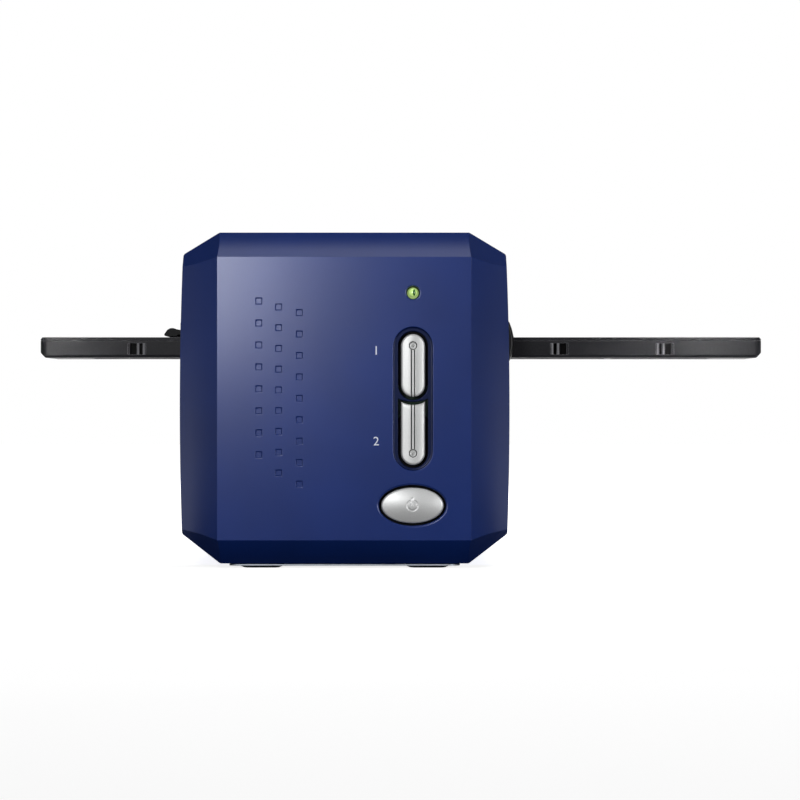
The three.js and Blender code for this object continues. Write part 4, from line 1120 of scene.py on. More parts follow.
    def rear_panel(self) -> None:
        """The stepped panel at the back, with holes for the sockets, the lock and the screws."""
        form, soft = self.form, self.edge_round
        step = form.rear - self.rear_step
        inner_face = form.rear - form.wall / 2
        rim = Draft().prism(Axis.Y, form.outline(), (form.rear_joint, step))
        rim.soften(soft, 2, at_height(Axis.Y, form.rear_joint, step))
        raised = Draft().prism(Axis.Y, form.outline(self.rear_step), (form.rear_joint + GAP, form.rear))
        raised.soften(soft, 2, at_height(Axis.Y, form.rear))
        hollow_y = (form.rear_joint - OVERRUN, form.rear - form.wall)
        hollow = Draft().prism(Axis.Y, form.outline(2 * form.wall), hollow_y)
        panel = Workpiece("rear_panel_shell", rim).apply(Cut.JOIN, raised).apply(Cut.TAKE, hollow)
        for place in self.rear_post_places:
            post = Draft().rod(Axis.Y, place, self.rear_post, (self.main_board_rear + GAP, inner_face))
            panel.apply(Cut.JOIN, post)
        through = (form.rear - 2 * form.wall, form.rear + OVERRUN)
        for hole in self.rear_holes:
            panel.apply(Cut.TAKE, Draft().prism(Axis.Y, hole.outline(), through))
        for x in around(0, self.rear_screw_place[0]):
            centre = (x, self.rear_screw_place[1])
            boss = Draft().rod(Axis.Y, centre, self.rear_boss, (form.rear_joint, inner_face))
            shank = Draft().rod(Axis.Y, centre, self.rear_shank, (form.rear_joint - OVERRUN, form.rear), 20)
            head_y = (form.rear - self.rear_head[1], form.rear + OVERRUN)
            head = Draft().rod(Axis.Y, centre, self.rear_head[0], head_y, 28)
            panel.apply(Cut.JOIN, boss).apply(Cut.TAKE, shank, head)
        panel.finish("housing", "navy_paint", self.paint, "rear_panel")

    def base_plate(self) -> None:
        """The pale sheet under the case, cut out round the feet and the screws."""
        outline = rectangle(around(0, self.base_half), around(0, self.base_reach), self.base_corner, 8)
        draft = Draft().prism(Axis.Z, outline, self.base_z).soften(self.sheet_round, 2, sharper_than(60))
        plate = Workpiece("base_sheet", draft)
        through = (self.base_z[0] - OVERRUN, self.base_z[1] + OVERRUN)
        for x, y in mirrored(self.foot_place):
            across, along = around(x, self.foot_half[0] + GAP), around(y, self.foot_half[1] + GAP)
            plate.apply(Cut.TAKE, Draft().prism(Axis.Z, rectangle(across, along, 1.0), through))
        for place in mirrored(self.base_screw_place):
            plate.apply(Cut.TAKE, Draft().rod(Axis.Z, place, self.base_sheet_hole, through))
        plate.finish("housing", "pale_base", self.base_paint, "base_plate")

    def feet(self) -> None:
        """Four tapered rubber feet with grooves across their soles."""
        for number, (x, y) in enumerate(mirrored(self.foot_place), 1):
            rings = []
            for inset, z in self.foot_profile:
                across, along = around(x, self.foot_half[0] - inset), around(y, self.foot_half[1] - inset)
                outline = rectangle(across, along, self.foot_corner, 5)
                rings.append([Axis.Z.place(u, v, z) for u, v in outline])
            foot = Workpiece(f"rubber_foot_{number}", Draft().loft(rings))
            for place in self.foot_grooves:
                across, along = around(x, self.foot_groove[0]), around(y + place, self.foot_groove[1])
                foot.apply(Cut.TAKE, Draft().box(across, along, (-OVERRUN, GAP)))
            foot.finish("housing", "foot_rubber", self.rubber, f"foot_{number}")

    def screws(self) -> None:
        """The steel screws in the base and in the rear panel."""
        for number, place in enumerate(mirrored(self.base_screw_place), 1):
            screw = Screw(Axis.Z, place, self.base_screw_face, 1, *self.base_screw)
            piece = screw.piece(f"case_screw_{number}")
            piece.finish("housing", "steel", self.steel, f"base_screw_{number}")
        for number, x in enumerate(around(0, self.rear_screw_place[0]), 1):
            centre = (x, self.rear_screw_place[1])
            screw = Screw(Axis.Y, centre, self.form.rear, -1, *self.rear_screw)
            piece = screw.piece(f"panel_screw_{number}")
            piece.finish("housing", "steel", self.steel, f"rear_screw_{number}")


@dataclass(frozen=True)
class Screw:
    """A round-headed screw with a cross recess, without threads."""

    axis: Axis
    centre: Point
    head_face: float
    inward: int
    head_radius: float
    head_height: float
    length: float
    shank_radius: float = 1.3
    crown: float = 0.35
    crown_share: float = 0.55
    crown_bend: Point = (0.85, 0.35)
    tip: Point = (0.6, 0.5)
    slot_half: float = 0.32
    slot_depth: float = 0.7
    slot_share: float = 0.62

    def at(self, depth: float) -> float:
        """Where a depth below the head's face lies along the axis."""
        return self.head_face + self.inward * depth

    def piece(self, name: str) -> Workpiece:
        """Model the screw from its head's face inwards.

        Args:
            name: The piece's name.

        Returns:
            The screw.
        """
        head, shank = self.head_radius, self.shank_radius
        profile = [
            (head * self.crown_share, self.at(0)),
            (head * self.crown_bend[0], self.at(self.crown * self.crown_bend[1])),
            (head, self.at(self.crown)),
            (head, self.at(self.head_height)),
            (shank, self.at(self.head_height)),
            (shank, self.at(self.length - self.tip[1])),
            (shank * self.tip[0], self.at(self.length)),
        ]
        screw = Workpiece(name, Draft().turned(self.axis, self.centre, profile, 28))
        reach = head * self.slot_share
        span = (self.at(-OVERRUN), self.at(self.slot_depth))
        u, v = self.centre
        for half_u, half_v in ((reach, self.slot_half), (self.slot_half, reach)):
            outline = rectangle(around(u, half_u), around(v, half_v))
            screw.apply(Cut.TAKE, Draft().prism(self.axis, outline, span))
        return screw


def rounding(distance: float, radius: float) -> float:
    """How far a rounded rim drops.

    Args:
        distance: How far inside the outline.
        radius: Radius of the rim.

    Returns:
        The drop, which is 0 from the radius inwards.
    """
    if distance >= radius:
        return 0.0
    return radius - math.sqrt(max(0.0, radius * radius - (radius - distance) ** 2))


def eased(value: float, low: float, high: float) -> float:
    """A soft step from 0 at low to 1 at high."""
    share = min(1.0, max(0.0, (value - low) / (high - low)))
    return share * share * (3 - 2 * share)


def half_chord(radius: float, offset: float) -> float:
    """Half of a circle's chord at a distance from its middle."""
    return math.sqrt(max(0.0, radius * radius - offset * offset))


@dataclass
class ScanButton:
    """A long silver key, crowned across, with a grooved line that ends in a ring and a bead."""

    controls: Controls
    name: str
    node: str
    body: str
    finish: Material
    painted_shade: Material
    low_at: Callable[[float], float]
    high_at: Callable[[float], float]
    inside: Callable[[float, float], float]
    bead_z: float
    line_goes: int
    stem_z: float
    flange_z: Span
    crown: float = 0.62
    edge_round: float = 0.7
    trim: float = 0.18
    line_half: float = 1.05
    line_depth: float = 0.05
    line_start: float = 0.3
    slit_place: float = 0.56
    slit_half: float = 0.24
    slit_depth: float = 0.5
    slit_edge: float = 0.05
    dark_share: float = 0.7
    ring_radius: float = 1.6
    ring_depth: float = 0.7
    ring_line: Span = (1.2, 1.46)
    bead_radius: float = 0.72
    bead_edge: Span = (0.05, 0.1)
    flange_margin: float = 1.6
    fine_column: float = 0.08
    fine_columns: int = 23
    wide_columns: tuple[float, ...] = (2.1, 2.5, 2.9, 3.2, 3.45, 3.65)
    edge_columns: tuple[float, ...] = (0.45, 0.33, 0.22, 0.13, 0.06, 0.02, 0.0)
    end_rows: tuple[float, ...] = (0.0, 0.02, 0.06, 0.13, 0.22, 0.34, 0.48, 0.7)
    row_steps: tuple[int, int, int] = (5, 26, 16)
    ring_room: Point = (0.15, 0.2)

    def depth_at(self, x: float, z: float) -> float:
        """How far the surface lies behind its highest level.

        Args:
            x: Place across the key.
            z: Height.

        Returns:
            The depth there.
        """
        parts = self.controls
        across = (x - parts.x) / (parts.half_width - self.trim)
        depth = self.crown * across * across + rounding(self.inside(x, z), self.edge_round)
        off_line = abs(x - parts.x)
        groove = self.line_depth * (1 - eased(off_line, self.slit_place, self.line_half))
        off_slit = abs(off_line - self.slit_place)
        groove += self.slit_depth * (1 - eased(off_slit, self.slit_edge, self.slit_half))
        beyond = (z - self.bead_z) * self.line_goes
        groove *= eased(beyond, 0.0, self.line_start)
        off_bead = math.hypot(x - parts.x, z - self.bead_z)
        inner, outer = (self.bead_radius + edge for edge in self.bead_edge)
        ring = self.ring_depth * (1 - eased(off_bead, outer, self.ring_radius))
        ring *= eased(off_bead, 0.0, inner)
        if off_bead < outer:
            return depth + ring
        return depth + max(groove, ring)

    def columns(self) -> list[float]:
        """Places across the key where the sheet has a column.

        Returns:
            The distances from the key's middle, from left to right.
        """
        half = self.controls.half_width - self.trim
        fine = [step * self.fine_column for step in range(self.fine_columns)]
        right = [*fine, *self.wide_columns, *(half - gap for gap in self.edge_columns)]
        return [-x for x in reversed(right[1:])] + right

    def rows(self, low: float, high: float) -> list[float]:
        """Heights where one column has a point, closest at its ends and across the ring.

        Args:
            low: The column's lower end.
            high: The column's upper end.

        Returns:
            The heights from low to high.
        """
        first, last = [low + gap for gap in self.end_rows], [high - gap for gap in reversed(self.end_rows)]
        lower, upper = first[-1], last[0]
        below, across, above = self.row_steps if self.line_goes > 0 else reversed(self.row_steps)
        reach, room = self.ring_radius + self.ring_room[0], self.ring_room[1]
        start, end = max(self.bead_z - reach, lower + room), min(self.bead_z + reach, upper - room)
        middle = [mixed(lower, start, step / below) for step in range(1, below)]
        middle += [mixed(start, end, step / across) for step in range(across + 1)]
        middle += [mixed(end, upper, step / above) for step in range(1, above)]
        return first + middle + last

    def build(self) -> None:
        """Model the key with its flange and stem."""
        parts = self.controls
        top = FACE_Y - parts.proud
        sheet = []
        for offset in self.columns():
            x = parts.x + offset
            heights = self.rows(self.low_at(offset), self.high_at(offset))
            sheet.append([Vector((x, top + self.depth_at(x, z), z)) for z in heights])
        draft = Draft()
        grid = draft.grid(sheet)
        rim = [column[0] for column in grid] + grid[-1][1:] + [column[-1] for column in reversed(grid[:-1])]
        rim += list(reversed(grid[0][1:-1]))
        rear = [draft.mesh.verts.new((vert.co.x, parts.flange_y[1], vert.co.z)) for vert in rim]
        for index in range(len(rim)):
            after = (index + 1) % len(rim)
            draft.mesh.faces.new((rim[index], rim[after], rear[after], rear[index]))
        draft.mesh.faces.new(rear)
        key = Workpiece(self.name, draft)
        flange = racetrack(parts.x, self.flange_z, parts.half_width + self.flange_margin)
        key.apply(Cut.JOIN, Draft().prism(Axis.Y, flange, parts.flange_y), parts.stem(self.stem_z))
        piece = key.finish(self.body, "silver_button", self.finish, self.node)
        # Painted shade on the key's sides behind the front face and on the dark lines of its ring and
        # groove.
        dress(piece, self.painted_shade, self.is_dark)

    def is_dark(self, middle: Vector) -> bool:
        """Whether a face gets painted shade: the sides behind the front face, which sit in the shadow of
        the gap, and the dark lines painted into the ring and the groove.

        Args:
            middle: The face's middle.

        Returns:
            True if it does.
        """
        if middle.y > PAINTED_SHADE_LEVEL:
            return True
        off_line = abs(middle.x - self.controls.x)
        off_bead = math.hypot(off_line, middle.z - self.bead_z)
        if off_bead < self.ring_radius:
            return self.ring_line[0] < off_bead < self.ring_line[1]
        beyond = (middle.z - self.bead_z) * self.line_goes
        return beyond > 0 and abs(off_line - self.slit_place) < self.slit_half * self.dark_share


@dataclass
class PowerButton:
    """The oval key with a standby mark sunk into its middle."""

    controls: Controls
    finish: Material
    painted_shade: Material
    crown: float = 1.25
    edge_round: float = 0.6
    mark_radius: float = 1.75
    mark_half: float = 0.3
    mark_depth: float = 0.16
    mark_gap: Span = (22.0, 32.0)
    ring_slope: Span = (0.5, 1.5)
    bar_slope: Span = (0.4, 1.3)
    bar_place: Point = (0.75, 0.62)
    flange_margin: float = 1.4
    around_steps: int = 96
    first_ring: float = 0.012
    ring_pitch: float = 0.0145
    fine_rings: int = 30
    outer_rings: tuple[float, ...] = (
        0.5, 0.58, 0.66, 0.74, 0.81, 0.87, 0.91, 0.935, 0.955, 0.972, 0.985, 0.994, 1.0,
    )

    def depth_at(self, x: float, z: float) -> float:
        """How far the surface lies behind its highest level.

        Args:
            x: Place across the key.
            z: Height.

        Returns:
            The depth there.
        """
        middle, semi = self.controls.power, self.controls.power_semi
        dx, dz = x - middle[0], z - middle[1]
        share = math.hypot(dx / semi[0], dz / semi[1])
        inside = (1 - share) * mixed(semi[0], semi[1], abs(dz) / (abs(dx) + abs(dz) + NEAR))
        depth = self.crown * share * share + rounding(max(0.0, inside), self.edge_round)
        ring = abs(math.hypot(dx, dz) - self.mark_radius)
        open_top = eased(abs(math.degrees(math.atan2(dx, dz))), *self.mark_gap)
        bar_middle, bar_half = (self.mark_radius * part for part in self.bar_place)
        bar = max(abs(dx), abs(dz - bar_middle) - bar_half)
        ring_edge = (self.mark_half * part for part in self.ring_slope)
        bar_edge = (self.mark_half * part for part in self.bar_slope)
        mark = max((1 - eased(ring, *ring_edge)) * open_top, 1 - eased(bar, *bar_edge))
        return depth + self.mark_depth * mark

    def build(self) -> None:
        """Model the key with its flange and stem."""
        parts = self.controls
        middle, semi = parts.power, parts.power_semi
        shares = [self.first_ring + self.ring_pitch * step for step in range(self.fine_rings)]
        top = FACE_Y - parts.proud
        rings = []
        for share in (*shares, *self.outer_rings):
            outline = ellipse(middle, (semi[0] * share, semi[1] * share), self.around_steps)
            rings.append([Vector((x, top + self.depth_at(x, z), z)) for x, z in outline])
        rings.append([Vector((point.x, parts.flange_y[1], point.z)) for point in rings[-1]])
        key = Workpiece("power_key_cap", Draft().loft(rings))
        flange = ellipse(middle, (semi[0] + self.flange_margin, semi[1] + self.flange_margin))
        key.apply(Cut.JOIN, Draft().prism(Axis.Y, flange, parts.flange_y), parts.stem(middle[1]))
        piece = key.finish("power_key", "silver_button", self.finish, "power_button")
        # Painted shade on the power key's sides behind the front face.
        dress(piece, self.painted_shade, lambda middle: middle.y > PAINTED_SHADE_LEVEL)


@dataclass
class FrontControls:
    """The keys, the status lamp and the plain numbers beside the keys."""

    controls: Controls
    silver: Material
    painted_shade: Material
    green: Material
    chip: Material
    print_ink: Material
    dome_radius: float = 1.6
    dome_front: float = -135.7
    dome_steps: int = 18
    lamp_flange: float = 2.0
    lamp_flange_y: Span = (-126.3, -122.9)
    chip_offset: float = 0.4
    chip_semi: Point = (0.48, 1.15)
    number_places: tuple[tuple[str, float], ...] = (("1", 75.6), ("2", 43.6))
    number_size: float = 4.4
    number_right: float = 12.4
    number_lift: float = 0.015
    number_thickness: float = 0.01

    def build(self) -> None:
        """Make every piece that shows in the front panel's openings."""
        self.upper_key()
        self.lower_key()
        PowerButton(self.controls, self.silver, self.painted_shade).build()
        self.status_lamp()
        self.numbers()

    def upper_key(self) -> None:
        """The upper scan key, round at both ends."""
        parts = self.controls
        margin = ScanButton.flange_margin
        half = parts.half_width - ScanButton.trim
        low, high = parts.upper[0] + parts.half_width, parts.upper[1] - parts.half_width

        def inside(x: float, z: float) -> float:
            """How far a point lies inside the key's outline."""
            return half - math.hypot(x - parts.x, z - min(max(z, low), high))

        ScanButton(
            parts, "scan_key_upper", "scan_button_upper", "upper_button", self.silver, self.painted_shade,
            low_at=lambda offset: low - half_chord(half, offset),
            high_at=lambda offset: high + half_chord(half, offset),
            inside=inside,
            bead_z=parts.beads[1],
            line_goes=-1,
            stem_z=sum(parts.upper) / 2,
            flange_z=(parts.upper[0] + margin + parts.half_width + margin, high),
        ).build()

    def lower_key(self) -> None:
        """The lower scan key, hollow at its upper end."""
        parts = self.controls
        margin = ScanButton.flange_margin
        half = parts.half_width - ScanButton.trim
        low = parts.lower[0] + parts.half_width
        (_, dip_z), dip_radius = parts.dip_circle(parts.lower[1] - ScanButton.trim, half)

        def inside(x: float, z: float) -> float:
            """How far a point lies inside the key's outline."""
            edge = half - math.hypot(x - parts.x, z - max(z, low))
            return min(edge, math.hypot(x - parts.x, z - dip_z) - dip_radius)

        ScanButton(
            parts, "scan_key_lower", "scan_button_lower", "lower_button", self.silver, self.painted_shade,
            low_at=lambda offset: low - half_chord(half, offset),
            high_at=lambda offset: dip_z - half_chord(dip_radius, offset),
            inside=inside,
            bead_z=parts.beads[0],
            line_goes=1,
            stem_z=sum(parts.lower) / 2,
            flange_z=(low, parts.lower[1] - 2 * margin - parts.half_width - margin),
        ).build()

    def status_lamp(self) -> None:
        """The green lamp: a clear dome on a flanged body, with the dark carrier of its chip."""
        radius, (flange_front, back) = self.dome_radius, self.lamp_flange_y
        profile = [(0.0, self.dome_front)]
        for step in range(1, self.dome_steps + 1):
            angle = math.pi / 2 * step / self.dome_steps
            profile.append((radius * math.sin(angle), self.dome_front + radius * (1 - math.cos(angle))))
        flange = self.lamp_flange
        profile += [(radius, flange_front), (flange, flange_front), (flange, back), (0.0, back)]
        lamp = Workpiece("status_lamp_dome", Draft().turned(Axis.Y, self.controls.lamp, profile, 72))
        piece = lamp.finish("housing", "green_led", self.green, "status_led")
        dress(piece, self.chip, self.shows_chip)

    def shows_chip(self, middle: Vector) -> bool:
        """Whether a face of the dome lies over the dark carrier of the light's chip.

        Args:
            middle: The face's middle.

        Returns:
            True if it does.
        """
        x, z = self.controls.lamp
        across = (middle.x - x - self.chip_offset) / self.chip_semi[0]
        up = (middle.z - z) / self.chip_semi[1]
        return middle.y < PAINTED_SHADE_LEVEL and math.hypot(across, up) < 1.0

    def numbers(self) -> None:
        """Plain numbers printed to the left of the two scan keys."""
        for text, z in self.number_places:
            curve = bpy.data.curves.new(f"number_{text}", "FONT")
            curve.body = text
            curve.size = self.number_size * MILLIMETRE
            curve.align_x = "RIGHT"
            curve.extrude = self.number_thickness * MILLIMETRE
            curve.resolution_u = 6
            printed = link_new(f"printed_number_{text}", curve)
            printed.rotation_euler = (math.pi / 2, 0, 0)
            place = Vector((HOUSING_X + self.number_right, FACE_Y - self.number_lift, z))
            printed.location = place * MILLIMETRE
            curve.materials.append(self.print_ink)
            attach(printed, "housing")
            log.info("printed_number_%s: rides on housing", text)


@dataclass
class DustDoors:
    """The bezels in both sides and their doors."""

    form: CaseForm
    black: Material
    door_plastic: Material
    holder_y: float = -75.0
    bezel_half: float = 32.0
    door_half: float = 28.1
    mouth_half: float = 28.4
    rail_inner: float = 28.3
    low_z: float = 72.9
    high_z: float = 88.3
    inner_x: float = 55.0
    channel_top: float = 74.5
    holder_top: float = 82.2
    left_axis: Point = (-56.5, 84.6)
    right_axis: Point = (53.2, 85.3)
    barrel: float = 1.5
    bore: float = 1.1
    slot_z: float = 78.5
    swell: float = 2.1
    swell_rings: tuple[Point, ...] = ((0.0, 0.9), (0.25, 0.45), (0.8, 0.12), (1.5, 0.0))
    flare: Point = (1.1, 0.6)
    throat: float = 1.4
    ear: tuple[float, float, float] = (3.6, 2.8, 82.9)
    left_proud: float = 0.7
    left_mouth: float = 4.4
    pin_slack: float = 3.3
    crest: tuple[Point, ...] = (
        (0.0, 0.9), (-2.0, 0.3), (-2.9, 0.25), (-4.2, 0.5), (-5.6, 0.95), (-6.7, 0.85), (-7.7, 0.25),
    )
    door_length: Span = (-8.7, -8.8)
    door_thickness: float = 1.5

    def build(self) -> None:
        """Make both bezels and both doors."""
        self.right_bezel()
        self.left_bezel()
        self.left_door()
        self.right_door()

    def along(self, half: float) -> Span:
        """A span across the film holder's width."""
        return around(self.holder_y, half)

    def right_bezel(self) -> None:
        """The bulging frame round the right slot."""
        wall = self.form.side_at(self.slot_z)
        swell = wall + self.swell
        outline = [
            (self.inner_x, self.low_z), (wall, self.low_z), (wall + 0.7, 73.9), (swell - 0.7, 75.5),
            (swell, 79.0), (swell, self.holder_top), (swell - 0.7, 85.25), (wall + GAP, self.high_z),
            (self.inner_x, self.high_z),
        ]
        rings = []
        for inset, drop in self.swell_rings:
            ring = [(x - (drop if x > wall + 0.1 else 0.0), z) for x, z in rounded(outline, 1.6, 4)]
            rings.append((self.bezel_half - inset, ring))
        layers = [[Axis.Y.place(u, v, self.holder_y - reach) for u, v in ring] for reach, ring in rings]
        rings.reverse()
        layers += [[Axis.Y.place(u, v, self.holder_y + reach) for u, v in ring] for reach, ring in rings]
        frame = Workpiece("slot_frame_right", Draft().loft(layers))
        reach = (self.inner_x - OVERRUN, swell + OVERRUN)
        mouth = rectangle(self.along(self.rail_inner), (self.channel_top, self.holder_top + GAP), 0.4, 3)
        frame.apply(Cut.TAKE, Draft().prism(Axis.X, mouth, reach))
        wide, proud = self.flare
        flare_z = (self.channel_top - 0.9, self.holder_top + 1.3)
        flare_outline = rectangle(self.along(self.rail_inner + wide), flare_z, 0.8, 3)
        flare = [Axis.X.place(u, v, swell + proud) for u, v in flare_outline]
        throat = [Axis.X.place(u, v, swell - self.throat) for u, v in mouth]
        frame.apply(Cut.TAKE, Draft().loft([throat, flare]))
        ear_depth, ear_width, ear_low = self.ear
        for hand in (-1, 1):
            start = self.holder_y + hand * self.mouth_half
            ear_x = (self.inner_x - ear_depth, self.inner_x + GAP)
            ear = Draft().box(ear_x, (start, start + hand * ear_width), (ear_low, self.high_z))
            frame.apply(Cut.JOIN, ear.soften(0.3, 2, lambda edge: lies_along(edge, Axis.Y)))
        bore = Draft().rod(Axis.Y, self.right_axis, self.bore, self.along(self.bezel_half), 20)
        frame.apply(Cut.TAKE, bore)
        frame.finish("housing", "black_plastic", self.black, "slot_bezel_right")

    def left_bezel(self) -> None:
        """The nearly flush frame round the left slot."""
        wall = -self.form.side_at(self.slot_z)
        proud = wall - self.left_proud
        outline = [
            (-self.inner_x, self.high_z), (wall, self.high_z), (proud, self.high_z - 1),
            (proud, self.low_z + 1), (wall, self.low_z), (-self.inner_x, self.low_z),
        ]
        draft = Draft().prism(Axis.Y, rounded(outline, 0.5, 3), self.along(self.bezel_half))
        draft.soften(0.4, 2, at_height(Axis.Y, *self.along(self.bezel_half)))
        frame = Workpiece("slot_frame_left", draft)
        reach = (proud - OVERRUN, -self.inner_x + OVERRUN)
        mouth_z = (self.channel_top, self.holder_top + self.left_mouth)
        mouth = rectangle(self.along(self.mouth_half), mouth_z, 0.5, 3)
        frame.apply(Cut.TAKE, Draft().prism(Axis.X, mouth, reach))
        pin_span = self.along(self.door_half + self.pin_slack)
        frame.apply(Cut.TAKE, Draft().rod(Axis.Y, self.left_axis, self.bore, pin_span, 20))
        frame.finish("housing", "black_plastic", self.black, "slot_bezel_left")

    def door(self, name: str, node: str, body: str, outline: list[Point], axis: Point) -> None:
        """Model a door: a slab with a barrel that is bored for the pin.

        Args:
            name: The piece's name.
            node: The frame node that it stands in for.
            body: The moving body that it rides on.
            outline: The slab's section across the hinge.
            axis: Where the hinge's axis runs.
        """
        span = self.along(self.door_half)
        slab = Draft().prism(Axis.Y, rounded(outline, 0.35, 3), span)
        slab.soften(0.15, 2, at_height(Axis.Y, *span))
        door = Workpiece(name, slab)
        door.apply(Cut.JOIN, Draft().rod(Axis.Y, axis, self.barrel, span, 32))
        door.apply(Cut.TAKE, Draft().rod(Axis.Y, axis, self.bore, self.along(self.door_half + OVERRUN), 20))
        door.finish(body, "black_plastic", self.door_plastic, node)

    def left_door(self) -> None:
        """The door that the film holder has pushed open, with its lifted crest."""
        axis_x, axis_z = self.left_axis
        rest = self.holder_top + GAP
        tip = axis_x + self.door_length[1]
        outline = [(axis_x + x, axis_z + z) for x, z in self.crest]
        outline += [
            (tip, rest + 0.75), (tip + 0.15, rest + 0.25), (axis_x - 7.5, rest),
            (axis_x - 4.4, rest), (axis_x - 3.7, rest + 0.6), (axis_x, rest + 0.6),
        ]
        self.door("flap_left", "dust_door_left", "left_door", outline, self.left_axis)

    def right_door(self) -> None:
        """The door inside the right slot, resting on the film holder."""
        axis_x, axis_z = self.right_axis
        rest = self.holder_top + GAP
        top, tip = rest + self.door_thickness, axis_x + self.door_length[0]
        outline = [(axis_x, top), (tip, top), (tip, rest), (axis_x, rest), (axis_x + self.barrel, axis_z)]
        self.door("flap_right", "dust_door_right", "right_door", outline, self.right_axis)


@dataclass(frozen=True)
class Station:
    """One frame station in the holder's front edge, measured outwards from the frame's middle."""

    centre: float
    front: float
    heights: Span = (76.0, 80.1)
    bay: Span = (-3.1, 3.4)
    bay_depth: float = 0.24
    slot: Span = (-1.9, -0.9)
    slot_depth: float = 2.6
    recess: Span = (0.2, 2.3)
    recess_depth: float = 2.6
    ramp: float = 0.35
    rib_places: Span = (-2.45, -0.35)
    rib_half: float = 0.36
    rib_root: float = 1.2
    rib_foot: float = 0.02
    rib_steps: int = 8
    rib_highlight_half: float = 0.2
    lip: float = 0.1

    def out(self, place: float) -> float:
        """Where a place of the station lies along the holder."""
        return self.centre + (place if self.centre > 0 else -place)

    def spread(self, reach: Span) -> Span:
        """Where a stretch of the station lies along the holder, from left to right."""
        low, high = sorted(self.out(place) for place in reach)
        return low, high

    def cutters(self) -> list[Draft]:
        """Cutters of the shallow bay, the slot and the ramped recess.

        Returns:
            The three closed cutters.
        """
        front, drafts = self.front, []
        for reach, depth in ((self.bay, self.bay_depth), (self.slot, self.slot_depth)):
            outline = rectangle(self.spread(reach), self.heights, 0.3, 3)
            drafts.append(Draft().prism(Axis.Y, outline, (front - OVERRUN, front + depth)))
        inner, outer = (self.out(place) for place in self.recess)
        end, floor = self.out(self.recess[1] + self.ramp), front + self.recess_depth
        outline = [(inner, front - GAP), (inner, floor), (outer, floor), (end, front), (end, front - GAP)]
        drafts.append(Draft().prism(Axis.Z, outline, self.heights))
        return drafts

    def ribs(self) -> list[Draft]:
        """The half-round ribs that stand in the bay.

        Returns:
            The two closed ribs.
        """
        half, root, drafts = self.rib_half, self.front + self.rib_root, []
        for x in (self.out(place) for place in self.rib_places):
            outline = [(x + half, root)]
            for step in range(self.rib_steps + 1):
                angle = math.pi * step / self.rib_steps
                depth = self.bay_depth * (1 - math.sin(angle)) + NEAR
                outline.append((x + half * math.cos(angle), self.front + depth))
            outline.append((x - half, root))
            drafts.append(Draft().prism(Axis.Z, outline, self.heights))
        return drafts

    def has_rib_highlight(self, middle: Vector) -> bool:
        """Whether a face lies on the crest of one of the ribs, where a lighter grey is painted as a
        highlight.

        Args:
            middle: The face's middle.

        Returns:
            True if it does.
        """
        crest = 3 * NEAR < middle.y - self.front < self.bay_depth - self.rib_foot
        if not crest or not self.heights[0] < middle.z < self.heights[1]:
            return False
        return any(abs(middle.x - self.out(place)) < self.rib_highlight_half for place in self.rib_places)

    def holds(self, middle: Vector) -> bool:
        """Whether a face lies inside the slot or the recess.

        Args:
            middle: The face's middle.

        Returns:
            True if it does.
        """
        depth = middle.y - self.front
        if depth < self.bay_depth + self.lip or not self.heights[0] < middle.z < self.heights[1]:
            return False
        low, high = self.spread((self.slot[0] - NEAR, self.recess[1] + self.ramp))
        return low < middle.x < high and depth < self.slot_depth + NEAR


